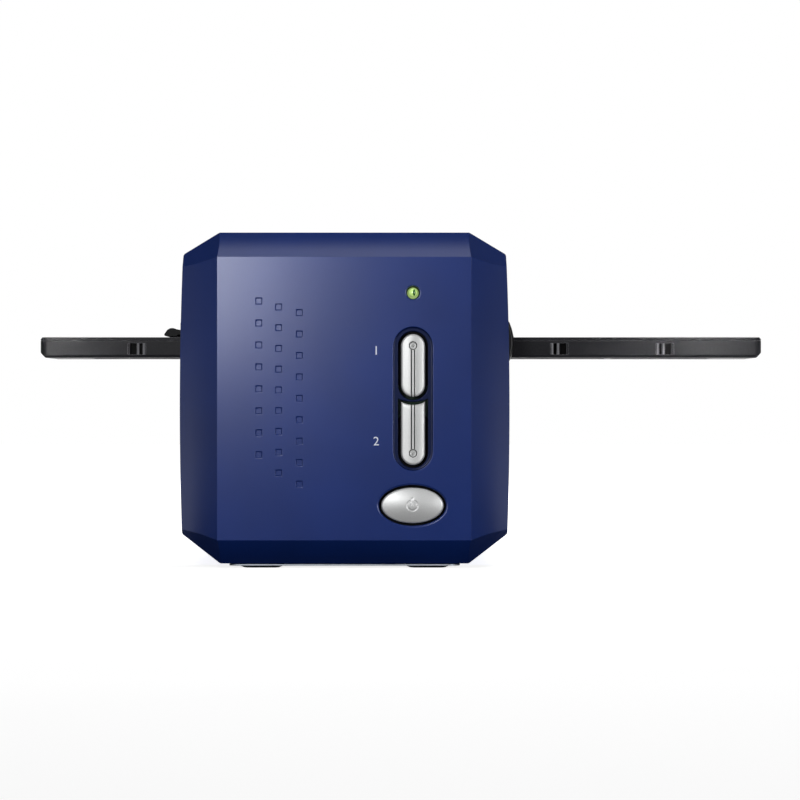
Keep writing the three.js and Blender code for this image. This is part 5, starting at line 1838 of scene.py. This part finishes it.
@dataclass
class FilmHolder:
    """The long tray for a strip of film, its lid and the lid's hinge pin."""

    plastic: Material
    shade: Material
    rim: Material
    steel: Material
    length: float = 260.0
    half: float = 28.0
    middle_y: float = -75.0
    low: float = 74.8
    tray_top: float = 81.0
    lid_low: float = 81.05
    top: float = 82.2
    corner: float = 2.8
    deck: float = 3.5
    frame_wall: float = 3.5
    end_wall: float = 10.0
    pitch: float = 38.0
    count: int = 6
    window: Point = (36.0, 24.0)
    edge_chamfer: float = 0.9
    end_chamfer: float = 1.9
    lid_chamfer: float = 0.8
    tray_round: float = 0.22
    lid_round: float = 0.2
    bend: float = 25.0
    rebate: float = 2.4
    pin: Point = (-48.7, 80.0)
    pin_radius: float = 0.6
    pin_round: float = 0.15
    knuckle_places: tuple[float, ...] = (-90.0, -30.0, 30.0, 90.0)
    knuckle_half: float = 5.0
    knuckle_depth: float = 2.9
    knuckle_drop: float = 2.5
    pin_reach: float = 101.0

    def stations(self) -> list[Station]:
        """The frame stations in the front edge, one at each film frame."""
        return [Station(centre, self.middle_y - self.half) for centre in self.frame_places()]

    def frame_places(self) -> list[float]:
        """Middles of the film frames."""
        return [(index - (self.count - 1) / 2) * self.pitch for index in range(self.count)]

    def plan(self, z: Span) -> Draft:
        """The holder's outline from above, pushed up.

        Args:
            z: The heights where it starts and ends.

        Returns:
            The closed body.
        """
        half_length = self.length / 2
        outline = rectangle(around(0, half_length), around(self.middle_y, self.half), self.corner, 8)
        return Draft().prism(Axis.Z, outline, z)

    def build(self) -> None:
        """Make the tray, the lid and the pin."""
        self.tray()
        self.lid()
        pin = Draft().rod(Axis.X, self.pin, self.pin_radius, around(0, self.pin_reach - GAP), 20)
        pin.soften(self.pin_round, 1, sharper_than(60))
        Workpiece("lid_pin", pin).finish("film_holder", "steel", self.steel, "holder_hinge_pin", x=0.0)

    def tray(self) -> None:
        """The tray, chamfered below, with stations along its front edge and six windows."""
        body = self.plan((self.low, self.tray_top))
        slant = Vector((0, 0, -1))
        for hand in (-1, 1):
            edge = Vector((0, self.middle_y + hand * self.half, self.low + self.edge_chamfer))
            body.slice(edge, (slant + Vector((0, hand, 0))).normalized())
            end = Vector((hand * self.length / 2, 0, self.low + self.end_chamfer))
            body.slice(end, (slant + Vector((hand, 0, 0))).normalized())
        body.soften(self.tray_round, 2, sharper_than(self.bend))
        tray = Workpiece("film_tray", body)
        for station in self.stations():
            tray.apply(Cut.TAKE, *station.cutters()).apply(Cut.JOIN, *station.ribs())
        deck_top = self.low + self.deck
        tray.apply(Cut.TAKE, Draft().prism(Axis.Z, self.pocket(0.0, 0.6), (deck_top, self.top)))
        for x in self.frame_places():
            tray.apply(Cut.TAKE, self.gate(x, (self.low - OVERRUN, self.top)))
        for x in self.knuckle_places:
            reach = (self.pin[0] - self.knuckle_depth / 2 - GAP, self.middle_y + 2 * self.half)
            seat = (self.lid_low - self.knuckle_drop - GAP, self.top)
            tray.apply(Cut.TAKE, Draft().box(around(x, self.knuckle_half + GAP), reach, seat))
        hole = Draft().rod(Axis.X, self.pin, self.pin_radius + GAP, around(0, self.pin_reach), 16)
        tray.apply(Cut.TAKE, hole)
        piece = tray.finish("film_holder", "holder_plastic", self.plastic, "holder_tray", x=0.0)
        # Painted shade deep in the slots and recesses of the frame stations.
        dress(piece, self.shade, self.in_station)
        # Painted highlight: a lighter grey on the rib crests of the frame stations.
        dress(piece, self.rim, self.on_rib)

    def pocket(self, margin: float, corner: float) -> list[Point]:
        """The outline of the tray's pocket, made smaller by a margin and with round corners."""
        across = around(0, self.length / 2 - self.end_wall - margin)
        return rectangle(across, around(self.middle_y, self.half - self.frame_wall - margin), corner, 3)

    def on_rib(self, middle: Vector) -> bool:
        """Whether a face lies on a rib crest of one of the frame stations, which gets a painted highlight.
        """
        place = middle + Vector((HOUSING_X, 0, 0))
        return any(station.has_rib_highlight(place) for station in self.stations())

    def in_station(self, middle: Vector) -> bool:
        """Whether a face lies deep in one of the frame stations, which gets painted shade."""
        place = middle + Vector((HOUSING_X, 0, 0))
        return any(station.holds(place) for station in self.stations())

    def gate(self, x: float, span: Span) -> Draft:
        """The cutter of one film window.

        Args:
            x: The window's middle.
            span: The heights where it starts and ends.

        Returns:
            The closed cutter.
        """
        half_length, half_width = self.window[0] / 2, self.window[1] / 2
        outline = rectangle(around(x, half_length), around(self.middle_y, half_width), 0.8, 4)
        return Draft().prism(Axis.Z, outline, span)

    def lid(self) -> None:
        """The lid's plate with its inner frame and its hinge knuckles."""
        plate = self.plan((self.lid_low, self.top))
        for hand in (-1, 1):
            end = Vector((hand * self.length / 2, 0, self.top - self.lid_chamfer))
            plate.slice(end, Vector((hand, 0, 1)).normalized())
        plate.soften(self.lid_round, 2, sharper_than(self.bend))
        lid = Workpiece("film_lid", plate)
        inner_z = (self.lid_low - self.rebate, self.lid_low + GAP)
        lid.apply(Cut.JOIN, Draft().prism(Axis.Z, self.pocket(GAP, 0.5), inner_z))
        for x in self.frame_places():
            lid.apply(Cut.TAKE, self.gate(x, (self.low, self.top + OVERRUN)))
        knuckle_z = (self.lid_low - self.knuckle_drop, self.lid_low + GAP)
        knuckle = rectangle(around(self.pin[0], self.knuckle_depth / 2), knuckle_z, 0.5, 3)
        for x in self.knuckle_places:
            lid.apply(Cut.JOIN, Draft().prism(Axis.X, knuckle, around(x, self.knuckle_half)))
        hole = Draft().rod(Axis.X, self.pin, self.pin_radius + GAP, around(0, self.length), 16)
        lid.apply(Cut.TAKE, hole)
        lid.finish("film_holder", "holder_plastic", self.plastic, "holder_lid", x=0.0)


@dataclass
class RibbonCable:
    """The flat cable from the scan carriage to the main board, swept in one fixed shape; the real one folds
    as the carriage travels.
    """

    finish: Material
    middle_x: float = -19.0
    half_width: float = 8.0
    conductors: int = 16
    valley: float = 0.12
    ridge: float = 0.2
    ridge_shares: Span = (0.25, 0.75)
    start: Point = (62.2, 52.0)
    end: Point = (113.7, 66.0)
    sag: float = 9.0
    steps: int = 42
    clamped: float = 3.0

    def centre_at(self, share: float) -> Point:
        """The cable's middle line.

        Args:
            share: How far along it, from 0 to 1.

        Returns:
            Depth and height.
        """
        ease = share * share * (3 - 2 * share)
        height = mixed(self.start[1], self.end[1], ease) - self.sag * math.sin(2 * math.pi * share)
        return mixed(self.start[0], self.end[0], share), height

    def profile(self) -> list[Point]:
        """The cable's cross-section, with one ridge for each conductor above and below.

        Returns:
            The closed outline.
        """
        pitch = 2 * self.half_width / self.conductors
        upper = []
        for number in range(self.conductors):
            left = self.middle_x - self.half_width + number * pitch
            upper.append((left, self.valley))
            upper += [(left + pitch * share, self.ridge) for share in self.ridge_shares]
        upper.append((self.middle_x + self.half_width, self.valley))
        return upper + [(x, -height) for x, height in reversed(upper)]

    def build(self) -> None:
        """Sweep the cross-section along the cable."""
        rings = []
        for step in range(self.steps + 1):
            depth, height = self.centre_at(step / self.steps)
            rings.append([Vector((x, depth, height + rise)) for x, rise in self.profile()])
        cable = Workpiece("ribbon_strip", Draft().loft(rings))
        piece = cable.finish(None, "cream_plastic", self.finish, "ribbon_cable", x=0.0)
        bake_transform(piece)


def linear(code: str) -> tuple[float, float, float, float]:
    """Turn a screen colour into the values that a shader takes.

    Args:
        code: The colour, such as "1f2c63".

    Returns:
        Linear red, green, blue and an alpha of 1.
    """
    parts = [int(code[place:place + 2], 16) / 255 for place in (0, 2, 4)]
    values = [part / 12.92 if part <= 0.04045 else ((part + 0.055) / 1.055) ** 2.4 for part in parts]
    return (values[0], values[1], values[2], 1.0)


class NodeSheet:
    """A node tree with short calls for adding and joining nodes."""

    def __init__(self, tree: bpy.types.NodeTree) -> None:
        """Work on a tree."""
        self.tree = tree

    def add(self, kind: str, given: Inputs | None = None, **values: object) -> bpy.types.Node:
        """Add a node.

        Args:
            kind: The node's type.
            given: Its inputs by label or number. A socket is joined, anything else is set.
            values: Its properties.

        Returns:
            The node.
        """
        node = self.tree.nodes.new(kind)
        for key, value in values.items():
            setattr(node, key, value)
        for key, value in (given or {}).items():
            if isinstance(value, Socket):
                self.tree.links.new(value, node.inputs[key])
            else:
                node.inputs[key].default_value = value
        return node

    def math(self, operation: str, first: object, second: object = 0.0, clamp: bool = False) -> Socket:
        """Add a Math node.

        Args:
            operation: What it works out.
            first: Its first input, a socket or a number.
            second: Its second input, a socket or a number.
            clamp: Whether the result is held between 0 and 1.

        Returns:
            Its output.
        """
        node = self.add("ShaderNodeMath", {0: first, 1: second}, operation=operation, use_clamp=clamp)
        return node.outputs[0]

    def noise(self, vector: Socket, scale: object, detail: float = 2.0) -> Socket:
        """Add a Noise Texture and return its value, about 0.5 on average."""
        given = {"Detail": detail, "Vector": vector, "Scale": scale}
        return self.add("ShaderNodeTexNoise", given).outputs["Fac"]

    def mix(self, factor: Socket, first: object, second: object) -> Socket:
        """Blend two colours by a factor and return the result."""
        node = self.add("ShaderNodeMix", {"Factor": factor, 6: first, 7: second}, data_type="RGBA")
        return node.outputs[2]


def new_material(name: str) -> tuple[Material, NodeSheet]:
    """Start a material without nodes.

    Args:
        name: The material's name.

    Returns:
        The material and the sheet of its nodes.
    """
    material = bpy.data.materials.new(name)
    material.use_nodes = True
    material.node_tree.nodes.clear()
    return material, NodeSheet(material.node_tree)


class SharedEffects:
    """Shader node groups that several finishes place with their own values."""

    def __init__(self) -> None:
        """Build each group once."""
        self.tone = self._tone()
        self.grain = self._grain()
        self.wear_and_highlight = self._wear_and_highlight()
        self.sheen = self._sheen()

    @staticmethod
    def _group(
        name: str, output: tuple[str, str], **inputs: object
    ) -> tuple[bpy.types.NodeTree, NodeSheet, bpy.types.Node]:
        """Start a group with one output.

        Args:
            name: The group's name.
            output: Label and type of the output.
            inputs: Value of each input, by its label with underscores for blanks.

        Returns:
            The group, its sheet and its input node.
        """
        tree = bpy.data.node_groups.new(name, "ShaderNodeTree")
        for label, value in inputs.items():
            kind = "NodeSocketFloat" if isinstance(value, float) else "NodeSocketColor"
            label = label.replace("_", " ")
            socket = tree.interface.new_socket(name=label, in_out="INPUT", socket_type=kind)
            socket.default_value = value
        tree.interface.new_socket(name=output[0], in_out="OUTPUT", socket_type=output[1])
        sheet = NodeSheet(tree)
        return tree, sheet, sheet.add("NodeGroupInput")

    def _tone(self) -> bpy.types.NodeTree:
        """Colour that drifts a little between two tones, in broad blotches and in fine specks.

        Returns:
            The group.
        """
        tree, sheet, given = self._group(
            "tone_drift", ("Color", "NodeSocketColor"), Dark=(0, 0, 0, 1), Light=(1, 1, 1, 1),
            Blotch_Scale=30.0, Speck_Scale=2500.0,
        )
        place = sheet.add("ShaderNodeTexCoord").outputs["Object"]
        broad = sheet.noise(place, given.outputs["Blotch Scale"])
        fine = sheet.noise(place, given.outputs["Speck Scale"], 1.0)
        share = sheet.math("ADD", sheet.math("MULTIPLY", broad, 0.55), sheet.math("MULTIPLY", fine, 0.45))
        spread = sheet.add("ShaderNodeMapRange", {"From Min": 0.36, "From Max": 0.64, "Value": share})
        colour = sheet.mix(spread.outputs["Result"], given.outputs["Dark"], given.outputs["Light"])
        sheet.add("NodeGroupOutput", {"Color": colour})
        return tree

    def _grain(self) -> bpy.types.NodeTree:
        """Height of a moulded or sprayed grain.

        Returns:
            The group.
        """
        tree, sheet, given = self._group(
            "fine_grain", ("Height", "NodeSocketFloat"), Scale=2000.0, Roughen=0.4
        )
        place = sheet.add("ShaderNodeTexCoord").outputs["Object"]
        coarse = sheet.noise(place, sheet.math("MULTIPLY", given.outputs["Scale"], 0.35), 1.0)
        fine = sheet.noise(place, given.outputs["Scale"], 3.0)
        height = sheet.math("ADD", coarse, sheet.math("MULTIPLY", fine, given.outputs["Roughen"]))
        sheet.add("NodeGroupOutput", {"Height": height})
        return tree

    def _wear_and_highlight(self) -> bpy.types.NodeTree:
        """Mask of the outer edges, broken up by noise, which take a lighter colour: edge wear, and on the
        film holder also a painted edge highlight.

        Returns:
            The group.
        """
        tree, sheet, given = self._group("edge_wear_and_highlight", ("Mask", "NodeSocketFloat"), Reach=0.0006, Gain=4.0)
        soft = sheet.add("ShaderNodeBevel", {"Radius": given.outputs["Reach"]}, samples=4)
        flat = sheet.add("ShaderNodeNewGeometry")
        normals = {0: soft.outputs["Normal"], 1: flat.outputs["Normal"]}
        alike = sheet.add("ShaderNodeVectorMath", normals, operation="DOT_PRODUCT")
        apart = sheet.math("SUBTRACT", 1.0, alike.outputs["Value"])
        strong = sheet.math("MULTIPLY", apart, given.outputs["Gain"], True)
        place = sheet.add("ShaderNodeTexCoord").outputs["Object"]
        broken = sheet.math("MULTIPLY", strong, sheet.noise(place, 400.0, 3.0), True)
        sheet.add("NodeGroupOutput", {"Mask": broken})
        return tree

    def _sheen(self) -> bpy.types.NodeTree:
        """Roughness that wavers round a level, as on handled or lightly dusty surfaces.

        Returns:
            The group.
        """
        tree, sheet, given = self._group(
            "roughness_waver", ("Roughness", "NodeSocketFloat"), Level=0.4, Waver=0.06, Scale=60.0
        )
        place = sheet.add("ShaderNodeTexCoord").outputs["Object"]
        cloud = sheet.math("SUBTRACT", sheet.noise(place, given.outputs["Scale"], 4.0), 0.5)
        offset = sheet.math("MULTIPLY", cloud, sheet.math("MULTIPLY", given.outputs["Waver"], 4.0))
        sheet.add("NodeGroupOutput", {"Roughness": sheet.math("ADD", given.outputs["Level"], offset, True)})
        return tree


@dataclass(frozen=True)
class Finish:
    """How one material looks; lengths are in metres and colours are screen codes."""

    name: str
    dark: str
    light: str
    roughness: float
    waver: float = 0.04
    metallic: float = 0.0
    coat: float = 0.0
    coat_roughness: float = 0.1
    specular: float = 0.5
    transmission: float = 0.0
    glow: float = 0.0
    glow_colour: str = "ffffff"
    wear_and_highlight_colour: str = ""
    wear_and_highlight_gain: float = 3.0
    wear_and_highlight_reach: float = 0.0005
    blotch_scale: float = 30.0
    speck_scale: float = 2500.0
    grain_scale: float = 2500.0
    grain_height: float = 0.00002
    grain_strength: float = 0.3

    def build(self, effects: SharedEffects) -> Material:
        """Make the material.

        Args:
            effects: The groups that it is made from.

        Returns:
            The material.
        """
        material, sheet = new_material(self.name)
        tone = sheet.add("ShaderNodeGroup", node_tree=effects.tone)
        tone.inputs["Dark"].default_value = linear(self.dark)
        tone.inputs["Light"].default_value = linear(self.light)
        tone.inputs["Blotch Scale"].default_value = self.blotch_scale
        tone.inputs["Speck Scale"].default_value = self.speck_scale
        colour = tone.outputs["Color"]
        # Lighter colour on the outer edges: edge wear, and on the film holder also a painted edge
        # highlight.
        if self.wear_and_highlight_colour:
            edges = {"Reach": self.wear_and_highlight_reach, "Gain": self.wear_and_highlight_gain}
            wear_and_highlight = sheet.add("ShaderNodeGroup", edges, node_tree=effects.wear_and_highlight)
            colour = sheet.mix(wear_and_highlight.outputs["Mask"], colour, linear(self.wear_and_highlight_colour))
        level = {"Level": self.roughness, "Waver": self.waver}
        sheen = sheet.add("ShaderNodeGroup", level, node_tree=effects.sheen)
        grain = sheet.add("ShaderNodeGroup", {"Scale": self.grain_scale}, node_tree=effects.grain)
        bump = sheet.add("ShaderNodeBump", {
            "Distance": self.grain_height,
            "Strength": self.grain_strength,
            "Height": grain.outputs["Height"],
        })
        shader = sheet.add("ShaderNodeBsdfPrincipled", {
            "Base Color": colour,
            "Roughness": sheen.outputs["Roughness"],
            "Normal": bump.outputs["Normal"],
            "Metallic": self.metallic,
            "Coat Weight": self.coat,
            "Coat Roughness": self.coat_roughness,
            "Specular IOR Level": self.specular,
            "Transmission Weight": self.transmission,
        })
        if self.glow:
            shader.inputs["Emission Color"].default_value = linear(self.glow_colour)
            shader.inputs["Emission Strength"].default_value = self.glow
        sheet.add("ShaderNodeOutputMaterial", {"Surface": shader.outputs["BSDF"]})
        return material


class Look(Enum):
    """The finishes that the pieces are given."""

    NAVY = Finish("navy_sprayed_paint", "0b2664", "0d2b70", 0.42, metallic=0.25, coat=1.0,
                  coat_roughness=0.24, specular=0.1, wear_and_highlight_colour="2f427c", wear_and_highlight_gain=1.2, grain_height=0.00003,
                  grain_strength=0.18, speck_scale=4000.0)
    # Darker navy painted as shade inside the buttons' recess.
    RECESS_SHADE = Finish("painted_shade_navy", "051336", "071741", 0.45, metallic=0.2, coat=0.2, coat_roughness=0.25,
                   specular=0.1, grain_height=0.00003, grain_strength=0.18, speck_scale=4000.0)
    # Black painted shade: it darkens the key sides in the gaps behind the front face, the lines in the
    # keys' grooves and the deep slots of the holder's stations.
    PAINTED_SHADE = Finish("painted_shade_black", "040405", "08080a", 0.6, specular=0.1)
    SILVER = Finish("satin_silver", "bfc0c0", "d1d2d2", 0.42, 0.03, metallic=0.42, wear_and_highlight_colour="f2f2f2",
                    grain_height=0.00002, grain_strength=0.25, speck_scale=5000.0)
    # The holder's lighter edge colour is a painted edge highlight as well as edge wear.
    HOLDER = Finish("holder_dark_grey", "1f1f22", "28282b", 0.38, 0.05, specular=0.08, wear_and_highlight_colour="8a8a8f",
                    wear_and_highlight_gain=3.0, grain_height=0.00004, grain_strength=0.3)
    # Lighter grey painted as a highlight on the holder's rib crests.
    RIB_HIGHLIGHT = Finish("painted_rib_highlight", "6c6c70", "78787c", 0.36, 0.05, specular=0.3, grain_height=0.00004)
    BLACK = Finish("black_moulding", "0a0b0d", "121317", 0.34, 0.05, specular=0.35, wear_and_highlight_colour="3b3d42",
                   wear_and_highlight_gain=2.0)
    DOOR = Finish("black_door_moulding", "08090a", "0f1012", 0.4, 0.05, specular=0.08, wear_and_highlight_colour="2a2c30",
                  wear_and_highlight_gain=2.0)
    BASE = Finish("pale_sheet", "a9b0ba", "c0c6cf", 0.4, metallic=0.4, grain_strength=0.15)
    RUBBER = Finish("foot_rubber", "1a1a1c", "262628", 0.8, wear_and_highlight_colour="4a4a4d", grain_scale=900.0,
                    grain_strength=0.5)
    STEEL = Finish("zinc_plated_steel", "94979c", "b4b7bc", 0.3, 0.08, metallic=1.0, wear_and_highlight_colour="d6d8dc",
                   blotch_scale=90.0)
    BOARD = Finish("green_circuit_board", "123f27", "1d5637", 0.35, coat=0.4, speck_scale=900.0,
                   blotch_scale=160.0)
    CREAM = Finish("cream_moulding", "cfcbbd", "dedbd0", 0.5, wear_and_highlight_colour="f0eee6")
    GREEN = Finish("green_lamp", "a2cc62", "c6e784", 0.12, 0.02, coat=1.0, coat_roughness=0.04,
                   glow=0.38, glow_colour="d2ee9c", grain_strength=0.0, speck_scale=300.0)
    CHIP = Finish("green_lamp_chip", "2e6420", "3f7a2c", 0.12, 0.02, coat=1.0, coat_roughness=0.04,
                  grain_strength=0.0, speck_scale=300.0)
    OPAL = Finish("opal_diffuser", "e9e9e4", "f6f6f2", 0.55, glow=0.25)
    MIRROR = Finish("front_mirror", "dfe3e6", "eceff1", 0.05, 0.01, metallic=1.0, grain_strength=0.0)
    GLASS = Finish("lens_glass", "cfe0e4", "dceaee", 0.05, 0.01, transmission=0.9, coat=1.0,
                   grain_strength=0.0)
    PRINT = Finish("printed_numbers", "c9cfdf", "dfe3ee", 0.5, grain_strength=0.1)


@dataclass
class InnerWorks:
    """What lies inside: the frame's own shapes, dressed piece by piece."""

    finishes: dict[Look, Material]
    nodes: dict[str, bpy.types.Object]
    dressing: tuple[tuple[Look, str], ...] = (
        (Look.STEEL, "chassis guide_rod_left guide_rod_right detent_spring scan_motor lead_screw"
                     " board_screw_1 board_screw_2 door_pin_left door_pin_right usb_socket"),
        (Look.BLACK, "film_channel_lower film_channel_upper home_sensor power_inlet carriage_frame"
                     " lens_barrel upper_switch lower_switch power_switch"),
        (Look.BOARD, "button_board lamp_board main_board image_sensor_board"),
        (Look.CREAM, "lamp_housing screw_bearing lead_nut upper_switch_plunger lower_switch_plunger"
                     " power_switch_plunger"),
        (Look.OPAL, "lamp_diffuser"),
        (Look.MIRROR, "mirror"),
        (Look.GLASS, "lens"),
    )

    def build(self) -> None:
        """Give every carried-over node its finish."""
        for look, names in self.dressing:
            for name in names.split():
                node = self.nodes[name]
                node.data.materials.clear()
                node.data.materials.append(self.finishes[look])
                log.info("%s: dressed in %s", name, look.value.name)


@dataclass(frozen=True)
class SoftLamp:
    """A rectangular soft lamp that looks at a point; lengths are in metres."""

    name: str
    place: Place
    target: Place
    size: Point
    watts: float
    spread: float = 180.0

    def build(self) -> None:
        """Hang the lamp."""
        light = bpy.data.lights.new(self.name, "AREA")
        light.shape = "RECTANGLE"
        light.size, light.size_y = self.size
        light.energy = self.watts
        light.spread = math.radians(self.spread)
        lamp = link_new(self.name, light)
        lamp.location = self.place
        lamp.rotation_euler = (Vector(self.target) - Vector(self.place)).to_track_quat("-Z", "Y").to_euler()
        lamp.visible_camera = False


@dataclass(frozen=True)
class Studio:
    """Camera, pale floor, surroundings and soft lamps; lengths are in metres."""

    lens: float = 190.0
    far_clip: float = 20.0
    camera_place: Place = (-0.0003, -1.6243, 0.0596)
    floor_half: float = 4.0
    floor_grey: float = 0.86
    floor_glow: float = 0.82
    cloth_roughness: float = 0.9
    floor_specular: float = 0.1
    flag_place: tuple[Span, Span] = ((-1.2, 1.2), (-1.6, -0.1))
    flag_height: float = 0.0002
    flag_colour: tuple[float, float, float, float] = (0.01, 0.01, 0.012, 1.0)
    diffuse_level: float = 0.3
    front_level: float = 0.01
    box_level: float = 1.3
    box_rise: Span = (0.25, 0.45)
    box_fall: Span = (0.9, 0.7)
    box_top: Span = (0.5, 0.3)
    half_turn: Span = (0.1, -0.1)
    left_gain: float = 0.3
    rear_level: float = 0.5
    rear_rise: Span = (0.6, 0.85)
    lamps: tuple[SoftLamp, ...] = (
        SoftLamp("upper_left_softbox", (-0.115, -0.5, 0.165), (-0.115, -0.135, 0.165), (0.11, 0.16), 0.66),
        SoftLamp("right_softbox", (0.31, -0.5, 0.06), (0.02, -0.13, 0.06), (0.18, 0.18), 0.85),
        SoftLamp("left_softbox", (-0.28, -0.5, 0.04), (-0.06, -0.13, 0.05), (0.14, 0.12), 0.14),
        SoftLamp("holder_left_softbox", (-0.18, -0.5, 0.083), (-0.14, -0.1, 0.078), (0.04, 0.05), 0.009,
                 spread=10.0),
        SoftLamp("holder_right_softbox", (0.145, -0.5, 0.083), (0.105, -0.1, 0.078), (0.04, 0.05), 0.006,
                 spread=10.0),
        SoftLamp("overhead_softbox", (0.0, -0.30, 0.80), (0.0, -0.2, 0.08), (0.8, 0.28), 1.2),
        SoftLamp("rear_softbox", (0.3, 1.2, 0.8), (0.0, 0.1, 0.05), (0.7, 0.7), 9.0),
    )

    def build(self) -> None:
        """Set up everything around the object."""
        scene = bpy.context.scene
        scene.view_settings.view_transform = "Standard"
        camera = bpy.data.cameras.new("photo_view")
        camera.lens = self.lens
        camera.clip_end = self.far_clip
        holder = link_new("photo_view", camera)
        holder.location = self.camera_place
        holder.rotation_euler = (math.pi / 2, 0, 0)
        scene.camera = holder
        self._floor()
        self._flag()
        self._world()
        for lamp in self.lamps:
            lamp.build()

    @staticmethod
    def _seen(sheet: NodeSheet) -> Socket:
        """Tell the rays that should meet a white background.

        Args:
            sheet: Where the nodes are added.

        Returns:
            A socket that is 1 for these rays and 0 for the others.
        """
        path = sheet.add("ShaderNodeLightPath")
        seen = sheet.math("MAXIMUM", path.outputs["Is Camera Ray"], path.outputs["Is Glossy Ray"])
        return sheet.math("MAXIMUM", seen, path.outputs["Is Transmission Ray"])

    @staticmethod
    def _plane(name: str, area: tuple[Span, Span], height: float, material: Material) -> bpy.types.Object:
        """Lay a level sheet that belongs to the studio and not to the object.

        Args:
            name: The sheet's name.
            area: Its spans along X and Y.
            height: How high it lies.
            material: What it is made of.

        Returns:
            The sheet.
        """
        mesh = bpy.data.meshes.new(name)
        mesh.from_pydata([(x, y, height) for x, y in rectangle(*area)], [], [(0, 1, 2, 3)])
        mesh.materials.append(material)
        plane = link_new(name, mesh)
        return plane

    def _floor(self) -> None:
        """A wide pale floor that keeps the shadow."""
        material, sheet = new_material("pale_floor")
        surface = sheet.add("ShaderNodeBsdfPrincipled", {
            "Base Color": (self.floor_grey, self.floor_grey, self.floor_grey, 1),
            "Roughness": self.cloth_roughness,
            "Specular IOR Level": self.floor_specular,
        })
        strength = sheet.math("MULTIPLY", self._seen(sheet), self.floor_glow)
        glow = sheet.add("ShaderNodeEmission", {"Strength": strength})
        total = sheet.add("ShaderNodeAddShader", {0: surface.outputs["BSDF"], 1: glow.outputs["Emission"]})
        sheet.add("ShaderNodeOutputMaterial", {"Surface": total.outputs["Shader"]})
        half = self.floor_half
        self._plane("studio_floor", ((-half, half), (-half, half)), 0.0, material)

    def _flag(self) -> None:
        """A dark cloth on the floor before the object, which only reflections show."""
        material = bpy.data.materials.new("dark_cloth")
        material.use_nodes = True
        shader = material.node_tree.nodes["Principled BSDF"]
        shader.inputs["Base Color"].default_value = self.flag_colour
        shader.inputs["Roughness"].default_value = self.cloth_roughness
        flag = self._plane("dark_flag", self.flag_place, self.flag_height, material)
        flag.visible_camera = False
        flag.visible_shadow = False

    @staticmethod
    def _step(sheet: NodeSheet, value: Socket, slope: Span) -> Socket:
        """A soft step from 0 to 1.

        Args:
            sheet: Where it is added.
            value: What it depends on.
            slope: The values where it is 0 and where it is 1, in either order.

        Returns:
            The step's output.
        """
        rising = slope[0] < slope[1]
        ramp = sheet.add("ShaderNodeMapRange", {
            "From Min": min(slope),
            "From Max": max(slope),
            "To Min": 0.0 if rising else 1.0,
            "To Max": 1.0 if rising else 0.0,
            "Value": value,
        }, interpolation_type="SMOOTHSTEP")
        return ramp.outputs["Result"]

    def _world(self) -> None:
        """White to the camera, bright at the sides and dim on the camera's side for reflections."""
        world = bpy.data.worlds.new("soft_room")
        world.use_nodes = True
        world.node_tree.nodes.clear()
        bpy.context.scene.world = world
        sheet = NodeSheet(world.node_tree)
        towards = {"Vector": sheet.add("ShaderNodeTexCoord").outputs["Generated"]}
        direction = sheet.add("ShaderNodeSeparateXYZ", towards)
        x, y, z = direction.outputs
        sideways, upright = sheet.math("ABSOLUTE", x), sheet.math("ABSOLUTE", z)
        boxes = self._step(sheet, sideways, self.box_rise)
        boxes = sheet.math("MULTIPLY", boxes, self._step(sheet, sideways, self.box_fall))
        boxes = sheet.math("MULTIPLY", boxes, self._step(sheet, y, self.half_turn))
        boxes = sheet.math("MULTIPLY", boxes, self._step(sheet, upright, self.box_top))
        leftward = sheet.math("MULTIPLY", self._step(sheet, x, self.half_turn), self.left_gain)
        boxes = sheet.math("MULTIPLY", boxes, sheet.math("ADD", 1.0, leftward))
        rear = sheet.math("MULTIPLY", self._step(sheet, y, self.rear_rise), self.rear_level)
        lit = sheet.math("ADD", sheet.math("MULTIPLY", boxes, self.box_level), rear)
        reflected = sheet.math("ADD", lit, self.front_level)
        path = sheet.add("ShaderNodeLightPath")
        plain = sheet.math("MAXIMUM", path.outputs["Is Camera Ray"], path.outputs["Is Transmission Ray"])
        glossy = sheet.math("MULTIPLY", path.outputs["Is Glossy Ray"], reflected)
        other = sheet.math("SUBTRACT", 1.0, sheet.math("MAXIMUM", plain, path.outputs["Is Glossy Ray"]))
        diffuse = sheet.math("MULTIPLY", other, self.diffuse_level)
        level = sheet.math("ADD", sheet.math("ADD", plain, glossy), diffuse)
        background = sheet.add("ShaderNodeBackground", {"Color": (1, 1, 1, 1), "Strength": level})
        sheet.add("ShaderNodeOutputWorld", {"Surface": background.outputs["Background"]})


def main() -> None:
    """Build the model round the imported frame."""
    logging.basicConfig(level=logging.INFO, format="%(name)s %(message)s")
    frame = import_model()
    effects = SharedEffects()
    finishes = {look: look.value.build(effects) for look in Look}
    Studio().build()
    form, controls = CaseForm(), Controls()
    navy, black, steel = finishes[Look.NAVY], finishes[Look.BLACK], finishes[Look.STEEL]
    painted_shade, holder = finishes[Look.PAINTED_SHADE], finishes[Look.HOLDER]
    Housing(form, controls, navy, finishes[Look.RECESS_SHADE], finishes[Look.BASE], finishes[Look.RUBBER],
            steel).build()
    FrontControls(controls, finishes[Look.SILVER], painted_shade, finishes[Look.GREEN], finishes[Look.CHIP],
                  finishes[Look.PRINT]).build()
    DustDoors(form, black, finishes[Look.DOOR]).build()
    FilmHolder(holder, painted_shade, finishes[Look.RIB_HIGHLIGHT], steel).build()
    RibbonCable(finishes[Look.CREAM]).build()
    InnerWorks(finishes, frame["nodes"]).build()


if __name__ == "__main__":
    main()
